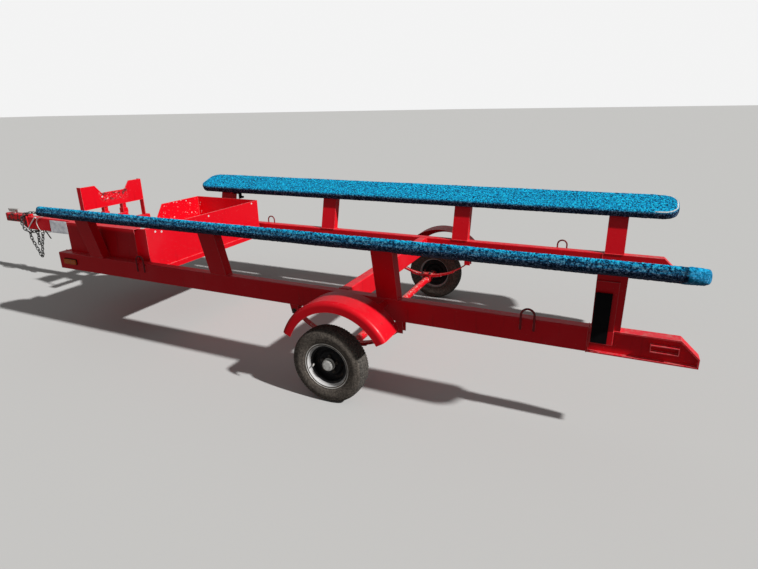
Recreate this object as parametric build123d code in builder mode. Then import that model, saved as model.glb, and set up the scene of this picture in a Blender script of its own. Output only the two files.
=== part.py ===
from build123d import *
import os
from math import asin, ceil, cos, degrees, radians, sin, sqrt, tan

# Boat trailer with a single axle, a pole tongue and two carpeted bunks on leaning posts.
# +X points forwards to the coupler, +Y to the trailer's left, +Z up, in millimetres.
# The origin lies on the ground, in the middle of the trailer's length and width.

os.makedirs("parts", exist_ok=True)

SIDES = {"left": 1, "right": -1}

# Stations along X are counted from the axle, between the tails' end and the coupler's nose
nose_station, tail_station = 5040, -2120
axle_x = -(nose_station + tail_station) / 2


def station(from_axle):
    return axle_x + from_axle


# Rails, crossmembers and tongue share one steel section
section_h, section_w, section_r = 150, 75, 9
rail_top = 692
rail_bottom = rail_top - section_h
rail_y = 838
rail_outer = rail_y + section_w / 2
rail_inner = rail_y - section_w / 2
rail_front, rail_seam = station(2910), station(-1560)

# Tails behind the rails
tail_end, tail_slope, tail_end_h = station(tail_station), station(-2022), 56
tail_drop, tail_lip, tail_recess = 2, 8, 22
guard_x, guard_z, guard_w, guard_h, guard_deep, guard_wall = station(-1950), 622, 140, 42, 26, 4

# Tongue, coupler and latch
tongue_top, tongue_front = 735, station(4640)
gusset_reach, gusset_wide, gusset_t, gusset_levels = 420, 640, 8, (602, 652)
coupler_nose, coupler_w, coupler_top, coupler_low = station(nose_station), 90, 755, 663
coupler_skirt, coupler_foot, coupler_round = station(4760), 597, 42
ball_x, ball_r, ball_z = coupler_nose - 48, 25.45, 700
latch_x, latch_w, latch_h, latch_post, latch_front, latch_back = station(4887), 34, 50, 16, 103, 75

# Bin between the rails, and the angles under it
bin_rear, bin_front = station(1920), station(2750)
bin_half, bin_top, bin_floor, sheet = 756, 950, 600, 5
notch_half_top, notch_half, notch_shoulder, notch_low = 222, 140, 832, 742
bearer, bearer_proud = 45, 7

# Side step beside the bin, on the left only
step_rear, step_front = station(2005), station(2834)
step_inner, step_foot, step_sheet = 706, 650, 4

# Bow stop, and the bar across the tongue that carries it
stop_x, stop_half, stop_low, stop_high, stop_t = station(3170), 365, 955, 1180, 8
stop_notch_half, stop_notch_low, stop_shoulder = 140, 1100, 205
stop_leg, stop_round = 45, 28
stub_y, stub_size, socket_wall, socket_gap, socket_top = 112, 44, 5, 1, 905
screw_z, screw_r, screw_l, handle_r, handle_l = 868, 6, 26, 5, 48
bar_x, bar_half, bar_w, bar_h = stop_x + stub_size / 2, 420, 60, 50
bar_top = tongue_top + bar_h

# Bunks and the posts that carry them
bunk_y, bunk_z, bunk_w, bunk_t, bunk_tilt, bunk_soft, bunk_corner = 976, 1078, 300, 62, 20, 22, 118
bunk_rear, bunk_front = station(-2080), station(2784)
post_w, post_lean = 150, 14
post_x = {"front": station(2415), "fore": station(1085), "aft": station(-322), "rear": station(-1648)}
strap_w, strap_t, strap_foot, strap_head = 116, 8, 606, 1000
pad_w, pad_t, pad_foot, pad_head, pad_edge = 84, 12, 615, 930, 4

# Wheels, their sections given from the wheel's middle plane
wheel_y, wheel_z = 1098, 265
tyre_r, tyre_half, tyre_bulge_r, shoulder_half, shoulder_r = 265, 68.5, 208, 50, 260
bead_r, bead_half, flange_r, flange_t, well_r, well_half, rim_t = 152.4, 51, 167.5, 5, 128, 22, 4
well_slope, disc_face, disc_t, disc_bore, disc_dish = 12, 4, 6, 42, 14
spindle_r, spindle_end, running_gap = 15, 1120, 0.05
hub_in, hub_r, hub_flange_r, hub_flange_t, hub_cap = 1036, 39, 74, 9, 1148

# Axle, springs and their brackets
axle_r, axle_half = 30, 1030
spring_w, leaf_t, spring_rise = 45, 8, 165
leaf_reach = {"main": 410, "second": 270, "third": 150}
eye_r, eye_bore, hanger_bolt, hanger_plate, cheek_gap = 18, 8.4, 8, 6, 1
clamp_l, clamp_w, clamp_t, bolt_r, bolt_over = 104, 84, 8, 5, 14

# Fenders
fender_x, fender_z, fender_r, fender_in, fender_out = station(-80), 320, 420, 962, 1190
fender_from, fender_to, fender_t, fender_roll, fender_lip = 22, 150, 3, 30, 70
bracket_angles, bracket_span, bracket_t, bracket_end = (50, 124), 6, 6, 1110

# Lamps and tie rings
lamp_x, lamp_z, lamp_l, lamp_h, lamp_t, lamp_r = station(2765), 619, 150, 43, 16, 8
ring_half, ring_rod, ring_foot, ring_crown = 39, 6.5, 622, 762
ring_x = {"left": (station(1895), station(-1225)), "right": (station(1845), station(-1225))}

# Prop stand under the right rail, behind the front corner
stand_x, stand_y, stand_pivot, stand_size, stand_bolt = station(2600), -rail_y, 460, 50, 8
stand_cheek, stand_gap, stand_foot, stand_foot_t = 8, 1, 130, 8

# Safety chains: six-sided wire in links, wrapped round the tongue and hung under it
wire_d, link_pitch, link_inside, link_slack = 10, 36, 18, 3.5
eye_rod, eye_half, eye_corner, eye_drop, eye_deep = 5, 15, 8, 22, 35


def save(part, name):
    part.label = name
    export_step(part, f"parts/{name}.step")


def lean(z):
    """How far out a leaning post stands at height z, counted from the rail's top."""
    return (z - rail_top) * tan(radians(post_lean))


def post_head(foot_y):
    """Point (y, z) where the post's line that starts at foot_y meets the bunk's underside."""
    slope = tan(radians(bunk_tilt))
    out = tan(radians(post_lean))
    under = bunk_z - bunk_t / 2 / cos(radians(bunk_tilt))
    z = (under + slope * (foot_y - bunk_y - rail_top * out)) / (1 - slope * out)
    return foot_y + lean(z), z


def turned_plane(x, z, angle):
    """Plane through (x, 0, z) whose own x runs along +Y and whose y points out at this angle."""
    a = radians(angle)
    return Plane(origin=(x, 0, z), x_dir=(0, 1, 0), z_dir=(sin(a), 0, -cos(a)))


# Main rails: closed rectangular tube from the front end to the seam
for side, s in SIDES.items():
    with BuildPart() as rail:
        with BuildSketch(Plane.YZ.offset(rail_seam)):
            with Locations((s * rail_y, rail_top - section_h / 2)):
                RectangleRounded(section_w, section_h, section_r)
        extrude(amount=rail_front - rail_seam)
    save(rail.part, f"rail_{side}")

# Tails: channel that opens outwards, with a sloped end, lips all round and an empty lamp guard
for side, s in SIDES.items():
    with BuildPart() as tail:
        with BuildSketch(Plane.XZ.offset(-s * rail_y)):
            with BuildLine():
                Polyline(
                    (rail_seam, rail_bottom),
                    (rail_seam, rail_top - tail_drop),
                    (tail_slope, rail_top - tail_drop),
                    (tail_end, rail_bottom + tail_end_h),
                    (tail_end, rail_bottom),
                    close=True,
                )
            make_face()
        extrude(amount=section_w / 2, both=True)
        with BuildSketch(Plane.XZ.offset(-s * rail_outer)):
            with BuildLine():
                Polyline(
                    (rail_seam - tail_lip, rail_bottom + tail_lip),
                    (rail_seam - tail_lip, rail_top - tail_drop - tail_lip),
                    (tail_slope + tail_lip / 2, rail_top - tail_drop - tail_lip),
                    (tail_end + tail_lip, rail_bottom + tail_end_h - tail_lip / 2),
                    (tail_end + tail_lip, rail_bottom + tail_lip),
                    close=True,
                )
            make_face()
        extrude(amount=s * tail_recess, mode=Mode.SUBTRACT)
        with BuildSketch(Plane.XZ.offset(-s * (rail_outer - tail_recess))):
            with Locations((guard_x, guard_z)):
                Rectangle(guard_w, guard_h)
                Rectangle(guard_w - 2 * guard_wall, guard_h - 2 * guard_wall, mode=Mode.SUBTRACT)
        extrude(amount=-s * guard_deep)
    save(tail.part, f"tail_{side}")

# Crossmembers between the rails: one under the bow, one over the axle
cross_x = {"crossmember_front": rail_front - section_w / 2, "crossmember_axle": station(section_w / 2)}
for name, x in cross_x.items():
    with BuildPart() as cross:
        with BuildSketch(Plane.XZ.offset(rail_inner)):
            with Locations((x, rail_top - section_h / 2)):
                RectangleRounded(section_w, section_h, section_r)
        extrude(amount=-2 * rail_inner)
    save(cross.part, name)

# Tongue: one straight tube butted on the front crossmember
with BuildPart() as tongue:
    with BuildSketch(Plane.YZ.offset(rail_front)):
        with Locations((0, tongue_top - section_h / 2)):
            RectangleRounded(section_w, section_h, section_r)
    extrude(amount=tongue_front - rail_front)
save(tongue.part, "tongue")

# Gussets in that corner, wide on the crossmember and narrow on the tongue
with BuildPart() as gussets:
    for level in gusset_levels:
        for s in SIDES.values():
            with BuildSketch(Plane.XY.offset(level)):
                with BuildLine():
                    Polyline(
                        (rail_front, s * section_w / 2),
                        (rail_front + gusset_reach, s * section_w / 2),
                        (rail_front, s * gusset_wide / 2),
                        close=True,
                    )
                make_face()
            extrude(amount=gusset_t)
save(gussets.part, "tongue_gussets")

# Coupler: channel with a round nose and a sloped skirt, and a socket for the ball below
with BuildPart() as coupler:
    with BuildSketch(Plane.XZ.offset(coupler_w / 2)):
        with BuildLine():
            Polyline(
                (tongue_front, coupler_foot),
                (tongue_front, coupler_top),
                (coupler_nose, coupler_top),
                (coupler_nose, coupler_low),
                (coupler_skirt, coupler_low),
                (tongue_front + 20, coupler_foot),
                close=True,
            )
        make_face()
    extrude(amount=-coupler_w)
    with BuildSketch(Plane.XY.offset(coupler_foot)):
        with Locations(((tongue_front + coupler_nose) / 2, 0)):
            Rectangle(coupler_nose - tongue_front, coupler_w)
        fillet(vertices().group_by(Axis.X)[-1], radius=coupler_round)
    extrude(amount=coupler_top - coupler_foot, mode=Mode.INTERSECT)
    fillet(coupler.edges().group_by(Axis.Z)[-1].sort_by(Axis.X)[1:], radius=12)
    with BuildSketch(Plane.XY.offset(coupler_low)):
        with Locations((ball_x, 0)):
            Circle(ball_r)
    extrude(amount=ball_z - coupler_low, mode=Mode.SUBTRACT)
    with Locations((ball_x, 0, ball_z)):
        Sphere(ball_r, mode=Mode.SUBTRACT)
save(coupler.part, "coupler")

# One chain link: a long ring of six-sided wire, its two halves tapered from the middle plane
link_inner, wire_taper = link_pitch + link_slack, 30


def ring_points(grow):
    """Corners of the ring's opening, moved out by grow, with three short edges round each end."""
    r = link_inside / 2 + grow
    centre = (link_inner - link_inside) / 2
    end = [(centre + r * cos(radians(t)), r * sin(radians(t))) for t in (-90, -30, 30, 90)]
    return end + [(-x, -y) for x, y in end]


with BuildPart() as link:
    for side in (1, -1):
        with BuildSketch():
            with BuildLine():
                Polyline(ring_points(wire_d), close=True)
            make_face()
        extrude(amount=side * wire_d * sqrt(3) / 4, taper=wire_taper)
        with BuildSketch(Plane.XY.offset(side * wire_d * sqrt(3) / 4)):
            with BuildLine():
                Polyline(ring_points(wire_d / 4), close=True)
            make_face()
        extrude(amount=-side * wire_d * sqrt(3) / 4, taper=wire_taper, mode=Mode.SUBTRACT)

# Runs of chain: points along each run, what its links are turned from, that turn, and whether it closes.
# Two falls meet in one link that lies level, a short length hangs free, and a closed run goes round the tongue.
underside = tongue_top - section_h
chain_runs = [
    ([(4682, 0, 556), (4690, 7, 505), (4668, 8, 435), (4640, 5, 375), (4612, 2, 315), (4587, 0, 259)], (0, 1, 0), 0, False),
    ([(4591, 0, 254), (4557, 0, 254)], (0, 1, 0), 90, False),
    ([(4561, 0, 259), (4542, 3, 315), (4524, 7, 370), (4490, 8, 445), (4468, 7, 505), (4462, 0, 556)], (0, 1, 0), 0, False),
    ([(4566, 0, 556), (4569, -9, 510), (4584, -12, 452), (4592, -12, 394)], (0, 1, 0), 0, False),
    (
        [(4634, 12, 548), (4664, 44, 560), (4686, 66, 598), (4697, 68, 656), (4684, 67, 712), (4652, 64, 753),
         (4612, 50, 777), (4566, 6, 779), (4534, -38, 764), (4520, -64, 720), (4524, -66, 664), (4540, -62, 610),
         (4568, -46, 566), (4602, -18, 548)],
        (1, 0, 0), 45, True,
    ),
]
places = []
for points, turned_from, first_turn, closed in chain_runs:
    route = Spline([(station(x), y, z) for x, y, z in points], periodic=closed)
    count = ceil(route.length / link_pitch)
    if count % 2 == closed:
        count += 1
    knots = [route @ (i / count) for i in range(count + 1)]
    for i in range(count):
        along = (knots[i + 1] - knots[i]).normalized()
        across = along.cross(Vector(*turned_from)).normalized()
        plane = Plane(origin=(knots[i] + knots[i + 1]) / 2, x_dir=along, z_dir=across)
        places.append(plane.location * Location((0, 0, 0), (first_turn + 90 * (i % 2), 0, 0)))
eyes = []
for x in (4682, 4462, 4566):
    with BuildPart() as eye:
        with BuildLine(Plane.XZ) as wire:
            Polyline(
                (station(x) - eye_half, underside),
                (station(x) - eye_half, underside - eye_drop),
                (station(x) - eye_corner, underside - eye_deep),
                (station(x) + eye_corner, underside - eye_deep),
                (station(x) + eye_half, underside - eye_drop),
                (station(x) + eye_half, underside),
            )
        with BuildSketch(Plane.XY.offset(underside)):
            with Locations((station(x) - eye_half, 0)):
                RegularPolygon(eye_rod, 6)
        sweep(path=wire.wires()[0], transition=Transition.RIGHT)
    eyes.append(eye.part.solid())
links = [link.part.solid().moved(place) for place in places]
save(Compound(links + eyes), "safety_chains")

# Latch on the coupler: a short post, a thick front jaw and a flat lever that points backwards
with BuildPart() as latch:
    with BuildSketch(Plane.XZ.offset(latch_w / 2)):
        with BuildLine():
            Polyline(
                (latch_x - latch_post, coupler_top),
                (latch_x - latch_post, coupler_top + latch_h - 16),
                (latch_x - latch_back, coupler_top + latch_h - 4),
                (latch_x - latch_back, coupler_top + latch_h),
                (latch_x + latch_front, coupler_top + latch_h),
                (latch_x + latch_front - 12, coupler_top + latch_h - 32),
                (latch_x + latch_post, coupler_top + latch_h - 34),
                (latch_x + latch_post, coupler_top),
                close=True,
            )
        make_face()
    extrude(amount=-latch_w)
    fillet(latch.edges().filter_by(Axis.Y).group_by(Axis.Z)[-1], radius=3)
save(latch.part, "coupler_latch")

# Bin: open-topped sheet box with a notch in its front wall
with BuildPart() as tub:
    with BuildSketch(Plane.XY.offset(bin_floor)):
        with Locations(((bin_rear + bin_front) / 2, 0)):
            Rectangle(bin_front - bin_rear, 2 * bin_half)
    extrude(amount=bin_top - bin_floor)
    with BuildSketch(Plane.XY.offset(bin_floor + sheet)):
        with Locations(((bin_rear + bin_front) / 2, 0)):
            Rectangle(bin_front - bin_rear - 2 * sheet, 2 * (bin_half - sheet))
    extrude(amount=bin_top - bin_floor, mode=Mode.SUBTRACT)
    with BuildSketch(Plane.YZ.offset(bin_front - 2 * sheet)):
        with BuildLine():
            Polyline(
                (-notch_half_top, bin_top),
                (-notch_half, notch_shoulder),
                (-notch_half, notch_low),
                (notch_half, notch_low),
                (notch_half, notch_shoulder),
                (notch_half_top, bin_top),
                close=True,
            )
        make_face()
    extrude(amount=3 * sheet, mode=Mode.SUBTRACT)
save(tub.part, "bin")

# Bearers: two angles from rail to rail that carry the bin's floor, each a little proud of its wall
with BuildPart() as bearers:
    for x, inward in ((bin_rear - bearer_proud, 1), (bin_front + bearer_proud, -1)):
        with BuildSketch(Plane.XZ.offset(rail_inner)):
            with BuildLine():
                Polyline(
                    (x, bin_floor),
                    (x, bin_floor - bearer),
                    (x + inward * sheet, bin_floor - bearer),
                    (x + inward * sheet, bin_floor - sheet),
                    (x + inward * bearer, bin_floor - sheet),
                    (x + inward * bearer, bin_floor),
                    close=True,
                )
            make_face()
        extrude(amount=-2 * rail_inner)
save(bearers.part, "bin_bearers")

# Side step: folded sheet on the left rail's inner face, its top over the bin's edge
with BuildPart() as step:
    with BuildSketch(Plane.YZ.offset(step_rear)):
        with BuildLine():
            Polyline(
                (rail_inner, step_foot),
                (rail_inner, bin_top + step_sheet),
                (step_inner, bin_top + step_sheet),
                (step_inner, bin_top),
                (rail_inner - step_sheet, bin_top),
                (rail_inner - step_sheet, step_foot),
                close=True,
            )
        make_face()
    extrude(amount=step_front - step_rear)
save(step.part, "side_step")

# Bar across the tongue, with two square sockets for the bow stop's stubs
socket_size = stub_size + 2 * (socket_gap + socket_wall)
with BuildPart() as bar:
    with BuildSketch(Plane.XZ.offset(bar_half)):
        with Locations((bar_x, tongue_top + bar_h / 2)):
            RectangleRounded(bar_w, bar_h, 4)
    extrude(amount=-2 * bar_half)
    with BuildSketch(Plane.XY.offset(bar_top)):
        with Locations((bar_x, stub_y), (bar_x, -stub_y)):
            Rectangle(socket_size, socket_size)
            Rectangle(socket_size - 2 * socket_wall, socket_size - 2 * socket_wall, mode=Mode.SUBTRACT)
    extrude(amount=socket_top - bar_top)
    for s in SIDES.values():
        socket_side = stub_y + socket_size / 2
        with BuildSketch(Plane.XZ.offset(-s * socket_side)):
            with Locations((bar_x, screw_z)):
                Circle(screw_r)
        extrude(amount=-s * screw_l)
        with BuildSketch(Plane.XY.offset(screw_z - handle_l / 2)):
            with Locations((bar_x, s * (socket_side + screw_l - handle_r))):
                Circle(handle_r)
        extrude(amount=handle_l)
save(bar.part, "bow_stop_bar")

# Bow stop: notched plate, a leg folded forward at each end, and two stubs in front of it
with BuildPart() as stop:
    with BuildSketch(Plane.YZ.offset(stop_x)):
        with BuildLine():
            Polyline(
                (-stop_half, stop_low),
                (-stop_half, stop_high),
                (-stop_shoulder, stop_high),
                (-stop_notch_half, stop_notch_low),
                (stop_notch_half, stop_notch_low),
                (stop_shoulder, stop_high),
                (stop_half, stop_high),
                (stop_half, stop_low),
                close=True,
            )
        make_face()
        fillet(vertices().group_by(Axis.Z)[-1].sort_by(Axis.Y)[1:3], radius=stop_round)
    extrude(amount=-stop_t)
    for s in SIDES.values():
        with BuildSketch(Plane.XZ.offset(-s * stop_half)):
            with Locations((stop_x - stop_t, bar_top)):
                Rectangle(stop_leg + stop_t, stop_high - bar_top, align=(Align.MIN, Align.MIN))
        extrude(amount=s * stop_t)
    with BuildSketch(Plane.XY.offset(bar_top + socket_gap)):
        with Locations((bar_x, stub_y), (bar_x, -stub_y)):
            Rectangle(stub_size, stub_size)
    extrude(amount=(stop_low + stop_notch_low) / 2 - bar_top)
save(stop.part, "bow_stop")

# Bunks: long boards in carpet, outer edge higher, with round ends and soft edges
for side, s in SIDES.items():
    tilt = radians(bunk_tilt)
    board = Plane(
        origin=((bunk_rear + bunk_front) / 2, s * bunk_y, bunk_z),
        x_dir=(1, 0, 0),
        z_dir=(0, -s * sin(tilt), cos(tilt)),
    )
    with BuildPart() as bunk:
        with BuildSketch(board):
            RectangleRounded(bunk_front - bunk_rear, bunk_w, bunk_corner)
        extrude(amount=bunk_t / 2, both=True)
        flats = bunk.faces().filter_by(board)
        fillet([edge for face in flats for edge in face.edges()], radius=bunk_soft)
    save(bunk.part, f"bunk_{side}")

# Posts: square-cut tube on the rail, leaning out to the bunk's underside
for place, x in post_x.items():
    foot_z = rail_top - tail_drop if place == "rear" else rail_top
    for side, s in SIDES.items():
        inner_y, inner_z = post_head(rail_inner)
        outer_y, outer_z = post_head(rail_outer)
        with BuildPart() as post:
            with BuildSketch(Plane.YZ.offset(x - post_w / 2)):
                with BuildLine():
                    Polyline(
                        (s * (rail_inner + lean(foot_z)), foot_z),
                        (s * inner_y, inner_z),
                        (s * outer_y, outer_z),
                        (s * (rail_outer + lean(foot_z)), foot_z),
                        close=True,
                    )
                make_face()
            extrude(amount=post_w)
        save(post.part, f"post_{place}_{side}")


def layer(inner, outer, low, high):
    """Section of a flat layer on a post's outer face, bent upright where the rail begins."""
    bend = tan(radians(post_lean) / 2)
    slant = cos(radians(post_lean))
    return [
        (rail_outer + inner, low),
        (rail_outer + inner, rail_top - inner * bend),
        (rail_outer + inner / slant + lean(high), high),
        (rail_outer + outer / slant + lean(high), high),
        (rail_outer + outer, rail_top - outer * bend),
        (rail_outer + outer, low),
    ]


# Straps that tie each rear post to its tail, with a rubber pad on the outside of each
strap_front = post_x["rear"] + post_w / 2
with BuildPart() as straps:
    for s in SIDES.values():
        with BuildSketch(Plane.YZ.offset(strap_front - strap_w)):
            with BuildLine():
                Polyline([(s * y, z) for y, z in layer(0, strap_t, strap_foot, strap_head)], close=True)
            make_face()
        extrude(amount=strap_w)
save(straps.part, "post_straps")
with BuildPart() as pads:
    for s in SIDES.values():
        with BuildSketch(Plane.YZ.offset(strap_front - pad_edge - pad_w)):
            with BuildLine():
                section = layer(strap_t, strap_t + pad_t, pad_foot, pad_head)
                Polyline([(s * y, z) for y, z in section], close=True)
            make_face()
        extrude(amount=pad_w)
save(pads.part, "rear_pads")

# Axle: straight tube with a turned spindle at each end
with BuildPart() as axle:
    with BuildSketch(Plane.XZ.offset(axle_half)):
        with Locations((axle_x, wheel_z)):
            Circle(axle_r)
    extrude(amount=-2 * axle_half)
    with BuildSketch(Plane.XZ.offset(spindle_end)):
        with Locations((axle_x, wheel_z)):
            Circle(spindle_r)
    extrude(amount=-2 * spindle_end)
save(axle.part, "axle")

# Leaf springs: three leaves of one bend, the main leaf on top with an eye at its front end
main_reach = leaf_reach["main"]
main_top = wheel_z + axle_r + leaf_t * len(leaf_reach)
spring_bend = (main_reach**2 + spring_rise**2) / (2 * spring_rise)
eye_x = axle_x + main_reach + eye_r / 2
eye_z = main_top + spring_rise + eye_r / 2
for side, s in SIDES.items():
    with BuildPart() as spring:
        for count, reach in enumerate(leaf_reach.values()):
            inner = spring_bend + leaf_t * count
            half = degrees(asin(reach / inner))
            with BuildSketch(Plane.XZ.offset(-s * rail_y - spring_w / 2)):
                with BuildLine():
                    centre = (axle_x, main_top + spring_bend)
                    lower = CenterArc(centre, inner + leaf_t, -90 - half, 2 * half)
                    upper = CenterArc(centre, inner, -90 - half, 2 * half)
                    Line(lower @ 0, upper @ 0)
                    Line(lower @ 1, upper @ 1)
                make_face()
            extrude(amount=spring_w)
        with BuildSketch(Plane.XZ.offset(-s * rail_y - spring_w / 2)):
            with Locations((eye_x, eye_z)):
                Circle(eye_r)
        extrude(amount=spring_w)
        with BuildSketch(Plane.XZ.offset(-s * rail_y - spring_w / 2)):
            with Locations((eye_x, eye_z)):
                Circle(eye_bore)
        extrude(amount=spring_w, mode=Mode.SUBTRACT)
    save(spring.part, f"spring_{side}")

# Hangers under each rail: cheeks and a bolt at the eye, two guide plates at the plain end
cheek_in = spring_w / 2 + cheek_gap
with BuildPart() as hangers:
    for s in SIDES.values():
        for edge in (1, -1):
            with BuildSketch(Plane.XZ.offset(-s * rail_y - edge * cheek_in)):
                with BuildLine():
                    Polyline(
                        (eye_x - 2 * eye_r, rail_bottom),
                        (eye_x + 2 * eye_r, rail_bottom),
                        (eye_x + eye_r, eye_z - eye_r - 4),
                        (eye_x - eye_r, eye_z - eye_r - 4),
                        close=True,
                    )
                make_face()
                with Locations((axle_x - main_reach + eye_r / 2, rail_bottom)):
                    guide_h = rail_bottom - eye_z + 2 * eye_r
                    Rectangle(3 * eye_r, guide_h, align=(Align.CENTER, Align.MAX))
            extrude(amount=-edge * hanger_plate)
        with BuildSketch(Plane.XZ.offset(-s * rail_y - cheek_in - hanger_plate)):
            with Locations((eye_x, eye_z)):
                Circle(hanger_bolt)
        extrude(amount=2 * (cheek_in + hanger_plate))
save(hangers.part, "spring_hangers")

# Clamps: a plate on each spring, held by two round bolts that hook under the axle
plate_low = main_top + spring_bend - sqrt(spring_bend**2 - (clamp_l / 2) ** 2)
hook_r = axle_r + bolt_r + cheek_gap / 2
with BuildPart() as clamps:
    for s in SIDES.values():
        with BuildSketch(Plane.XY.offset(plate_low)):
            with Locations((axle_x, s * rail_y)):
                Rectangle(clamp_l, clamp_w)
        extrude(amount=clamp_t)
        for edge in (1, -1):
            bolt_y = s * rail_y + edge * (spring_w / 2 + bolt_r + cheek_gap)
            with BuildSketch(Plane.XY.offset(wheel_z)):
                with Locations((axle_x + hook_r, bolt_y), (axle_x - hook_r, bolt_y)):
                    Circle(bolt_r)
            extrude(amount=plate_low + clamp_t + bolt_over - wheel_z)
            with BuildSketch(Plane.XY.offset(wheel_z)):
                with Locations((axle_x + hook_r, bolt_y)):
                    Circle(bolt_r)
            revolve(axis=Axis((axle_x, bolt_y, wheel_z), (0, 1, 0)), revolution_arc=180)
save(clamps.part, "spring_clamps")

# Wheels: tyre, pressed rim and hub, all turned round the spindle
turning = Axis((axle_x, 0, wheel_z), (0, 1, 0))
turned = turned_plane(axle_x, wheel_z, 90)
disc_back = disc_face - disc_t
rim_outline = [
    (-bead_half - flange_t, flange_r),
    (-bead_half, flange_r),
    (-bead_half, bead_r),
    (-well_half - well_slope, bead_r),
    (-well_half, well_r),
    (well_half, well_r),
    (well_half + well_slope, bead_r),
    (bead_half, bead_r),
    (bead_half, flange_r),
    (bead_half + flange_t, flange_r),
    (bead_half + flange_t, bead_r - rim_t),
    (well_half + well_slope + rim_t / 2, bead_r - rim_t),
    (well_half + rim_t / 2, well_r - rim_t),
    (-well_half - rim_t / 2, well_r - rim_t),
    (-well_half - well_slope - rim_t / 2, bead_r - rim_t),
    (-bead_half - flange_t, bead_r - rim_t),
]
disc_outline = [
    (disc_face, disc_bore),
    (disc_face, hub_flange_r + disc_t),
    (disc_face - disc_dish, hub_flange_r + disc_t + disc_dish),
    (disc_face - disc_dish, well_r - rim_t),
    (disc_back - disc_dish, well_r - rim_t),
    (disc_back - disc_dish, hub_flange_r + disc_dish + 3),
    (disc_back, hub_flange_r + 3),
    (disc_back, disc_bore),
]
hub_seat = wheel_y + disc_back
hub_outline = [
    (hub_in, spindle_r + running_gap),
    (hub_in, hub_r - 4),
    (hub_seat - hub_flange_t, hub_r),
    (hub_seat - hub_flange_t, hub_flange_r),
    (hub_seat, hub_flange_r),
    (hub_seat, hub_r),
    (hub_cap - 8, hub_r),
    (hub_cap, hub_r - 10),
    (hub_cap, 0),
    (spindle_end + 2, 0),
    (spindle_end + 2, spindle_r + running_gap),
]
for side, s in SIDES.items():
    with BuildPart() as tyre:
        with BuildSketch(turned):
            with BuildLine():
                shoulders = [(s * (wheel_y + e * shoulder_half), shoulder_r) for e in (-1, 1)]
                lips = [(s * (wheel_y + e * bead_half), flange_r + 1) for e in (-1, 1)]
                beads = [(s * (wheel_y + e * bead_half), bead_r) for e in (-1, 1)]
                bulges = [(s * (wheel_y + e * tyre_half), tyre_bulge_r) for e in (-1, 1)]
                ThreePointArc(shoulders[0], (s * wheel_y, tyre_r), shoulders[1])
                ThreePointArc(shoulders[1], bulges[1], lips[1])
                Polyline(lips[1], beads[1], beads[0], lips[0])
                ThreePointArc(lips[0], bulges[0], shoulders[0])
            make_face()
        revolve(axis=turning)
    save(tyre.part, f"tyre_{side}")
    with BuildPart() as rim:
        with BuildSketch(turned):
            for outline in (rim_outline, disc_outline):
                with BuildLine():
                    Polyline([(s * (wheel_y + y), r) for y, r in outline], close=True)
                make_face()
        revolve(axis=turning)
    save(rim.part, f"rim_{side}")
    with BuildPart() as hub:
        with BuildSketch(turned):
            with BuildLine():
                Polyline([(s * y, r) for y, r in hub_outline], close=True)
            make_face()
        revolve(axis=turning)
    save(hub.part, f"hub_{side}")

# Fenders: arched sheet with a rolled outer edge, on two straps from the rail
fender_axis = Axis((fender_x, 0, fender_z), (0, -1, 0))
for side, s in SIDES.items():
    with BuildPart() as fender:
        with BuildSketch(turned_plane(fender_x, fender_z, fender_from)):
            with BuildLine():
                roll_y, roll_z = fender_out - fender_roll, fender_r - fender_roll
                diagonal = fender_roll * sin(radians(45))
                top = Line((s * fender_in, fender_r), (s * roll_y, fender_r))
                roll = ThreePointArc(
                    top @ 1,
                    (s * (roll_y + diagonal), roll_z + diagonal),
                    (s * fender_out, roll_z),
                )
                Line(roll @ 1, (s * fender_out, fender_r - fender_lip))
                offset(amount=fender_t, side=Side.RIGHT if s > 0 else Side.LEFT)
            make_face()
        revolve(axis=fender_axis, revolution_arc=fender_to - fender_from)
        for angle in bracket_angles:
            with BuildSketch(turned_plane(fender_x, fender_z, angle - bracket_span / 2)):
                with Locations((s * (rail_outer + bracket_end) / 2, fender_r - fender_t - bracket_t / 2)):
                    Rectangle(bracket_end - rail_outer, bracket_t)
            revolve(axis=fender_axis, revolution_arc=bracket_span)
    save(fender.part, f"fender_{side}")

# Marker lamps on the rails' outer faces, near the front
with BuildPart() as lamps:
    for s in SIDES.values():
        with BuildSketch(Plane.XZ.offset(-s * rail_outer)):
            with Locations((lamp_x, lamp_z)):
                RectangleRounded(lamp_l, lamp_h, lamp_r)
        extrude(amount=-s * lamp_t)
save(lamps.part, "marker_lamps")

# Tie rings: bent round bar welded to the rails' outer faces
bend_z = ring_crown - ring_rod - ring_half
with BuildPart() as rings:
    for side, s in SIDES.items():
        for x in ring_x[side]:
            with BuildLine(Plane.XZ.offset(-s * (rail_outer + ring_rod))) as wire:
                leg = Line((x - ring_half, ring_foot), (x - ring_half, bend_z))
                bend = ThreePointArc(leg @ 1, (x, bend_z + ring_half), (x + ring_half, bend_z))
                Line(bend @ 1, (x + ring_half, ring_foot))
            with BuildSketch(Plane.XY.offset(ring_foot)):
                with Locations((x - ring_half, s * (rail_outer + ring_rod))):
                    Circle(ring_rod)
            sweep(path=wire.wires()[0])
save(rings.part, "tie_rings")

# Stand bracket: two cheeks and a bolt under the right rail
cheek_y = stand_size / 2 + stand_gap
with BuildPart() as bracket:
    for edge in (1, -1):
        with BuildSketch(Plane.XZ.offset(edge * cheek_y - stand_y)):
            with Locations((stand_x, stand_pivot)):
                Circle(stand_size / 2)
            with Locations((stand_x, (rail_bottom + stand_pivot) / 2)):
                Rectangle(stand_size, rail_bottom - stand_pivot)
        extrude(amount=edge * stand_cheek)
    with BuildSketch(Plane.XZ.offset(cheek_y + stand_cheek - stand_y)):
        with Locations((stand_x, stand_pivot)):
            Circle(stand_bolt)
    extrude(amount=-2 * (cheek_y + stand_cheek))
save(bracket.part, "stand_bracket")

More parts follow.
